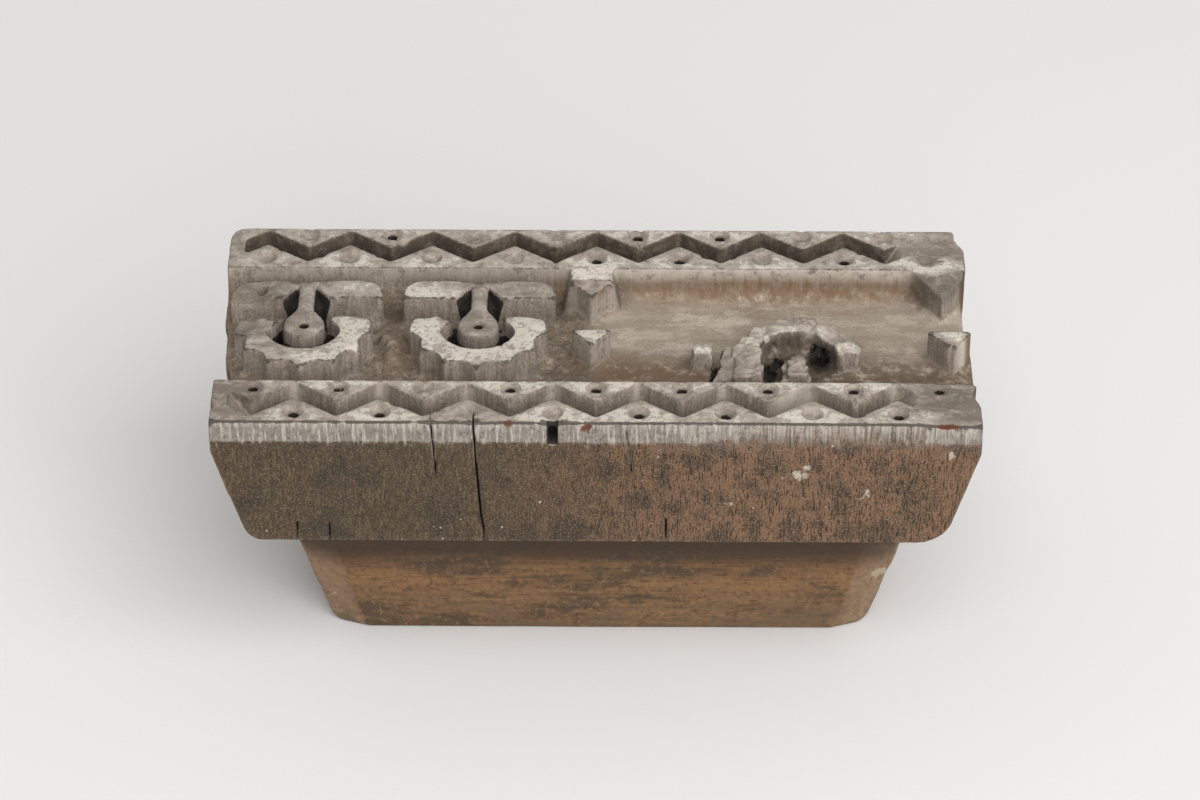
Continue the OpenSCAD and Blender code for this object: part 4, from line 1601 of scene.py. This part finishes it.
@dataclass
class Studio:
    """Paper floor, soft light from the front and above, and the camera."""

    floor_half: float = 6.0
    elevation: float = 35.0
    roll: float = 0.2819
    distance: float = 1204.24
    target: Triple = (1.03, -35.73, 84.0)
    focal_px: float = 4646.0
    image_w: int = 1200
    sensor_mm: float = 36.0
    clip: Pair = (0.05, 50.0)
    lamp_size: float = 3.0
    lamp_azimuth: float = 24.0
    lamp_elevation: float = 42.0
    lamp_away: float = 2.7
    lamp_power: float = 96.0
    room_light: float = 0.52
    room_colour: str = "#f4f5f6"

    def build(self, paper: bpy.types.Material) -> None:
        """Sets up floor, lamp, room light and camera.

        Args:
            paper: Finish of the floor.
        """
        scene = bpy.context.scene
        scene.view_settings.view_transform = "Standard"
        self.floor(paper)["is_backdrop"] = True
        self.lamp()
        world = bpy.data.worlds.new("soft_room")
        world.use_nodes = True
        back = world.node_tree.nodes["Background"]
        back.inputs["Color"].default_value = linear(self.room_colour)
        back.inputs["Strength"].default_value = self.room_light
        scene.world = world
        scene.camera = self.camera()

    def floor(self, paper: bpy.types.Material) -> bpy.types.Object:
        """Large flat sheet of paper.

        Args:
            paper: Finish of the sheet.

        Returns:
            The sheet.
        """
        half = self.floor_half
        mesh = bpy.data.meshes.new("paper_floor")
        corners = [(-half, -half, 0), (half, -half, 0), (half, half, 0), (-half, half, 0)]
        mesh.from_pydata(corners, [], [(0, 1, 2, 3)])
        mesh.materials.append(paper)
        sheet = bpy.data.objects.new("paper_floor", mesh)
        bpy.context.scene.collection.objects.link(sheet)
        return sheet

    def lamp(self) -> None:
        """Adds the large square lamp, turned to the object."""
        data = bpy.data.lights.new("soft_box", "AREA")
        data.shape = "SQUARE"
        data.size, data.energy = self.lamp_size, self.lamp_power
        box = bpy.data.objects.new("soft_box", data)
        turn, lift = math.radians(self.lamp_azimuth), math.radians(self.lamp_elevation)
        level = math.cos(lift)
        towards = Vector((math.sin(turn) * level, -math.cos(turn) * level, math.sin(lift)))
        box.location = self.lamp_away * towards
        box.rotation_euler = (-box.location).to_track_quat("-Z", "Y").to_euler()
        bpy.context.scene.collection.objects.link(box)

    def camera(self) -> bpy.types.Object:
        """Camera at the viewing angle of the photograph.

        Returns:
            The camera.
        """
        lift, turn = math.radians(self.elevation), math.radians(self.roll)
        right = Vector((1, 0, 0))
        back = Vector((0, -math.cos(lift), math.sin(lift)))
        up = back.cross(right)
        across = right * math.cos(turn) + up * math.sin(turn)
        along = -right * math.sin(turn) + up * math.cos(turn)
        place = (Vector(self.target) + back * self.distance) * MM
        data = bpy.data.cameras.new("camera")
        data.sensor_width = self.sensor_mm
        data.lens = self.focal_px * self.sensor_mm / self.image_w
        data.clip_start, data.clip_end = self.clip
        camera = bpy.data.objects.new("camera", data)
        camera.matrix_world = Matrix((
            (across.x, along.x, back.x, place.x), (across.y, along.y, back.y, place.y),
            (across.z, along.z, back.z, place.z), (0, 0, 0, 1)))
        bpy.context.scene.collection.objects.link(camera)
        return camera


def main() -> None:
    """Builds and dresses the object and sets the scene."""
    logging.basicConfig(level=logging.INFO, format="%(message)s")
    cad_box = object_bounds()
    slab_voxel, bar_voxel = ((0.4, 0.5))

    block = PrintingBlock(voxel=slab_voxel)
    slab = block.build()
    block.dress(slab, carved_hardwood().make())
    LOG.info("%s: %d faces", slab.name, len(slab.data.polygons))

    flecks = PasteFlecks(limits=cad_box)
    chalk = crumbled_paste().make()
    crumbs = flecks.build(slab, chalk)
    flecks.dress(crumbs, chalk)
    LOG.info("%s: %d faces", crumbs.name, len(crumbs.data.polygons))

    handle = BarHandle(voxel=bar_voxel)
    bar = handle.build()
    handle.dress(bar, hand_rubbed_bar().make())
    LOG.info("%s: %d faces", bar.name, len(bar.data.polygons))

    pegs = PegRow()
    pegs.dress(shaved_wood("split_and_shaved_peg_wood", "#a98a60", "#6b5236").make(),
               shaved_wood("split_dark_wedge_wood", "#6b5038", "#3a2a1c").make())
    LOG.info("pegs and wedges: %d of each", pegs.count)

    Studio().build(matt_paper().make())
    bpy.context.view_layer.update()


if __name__ == "__main__":
    main()
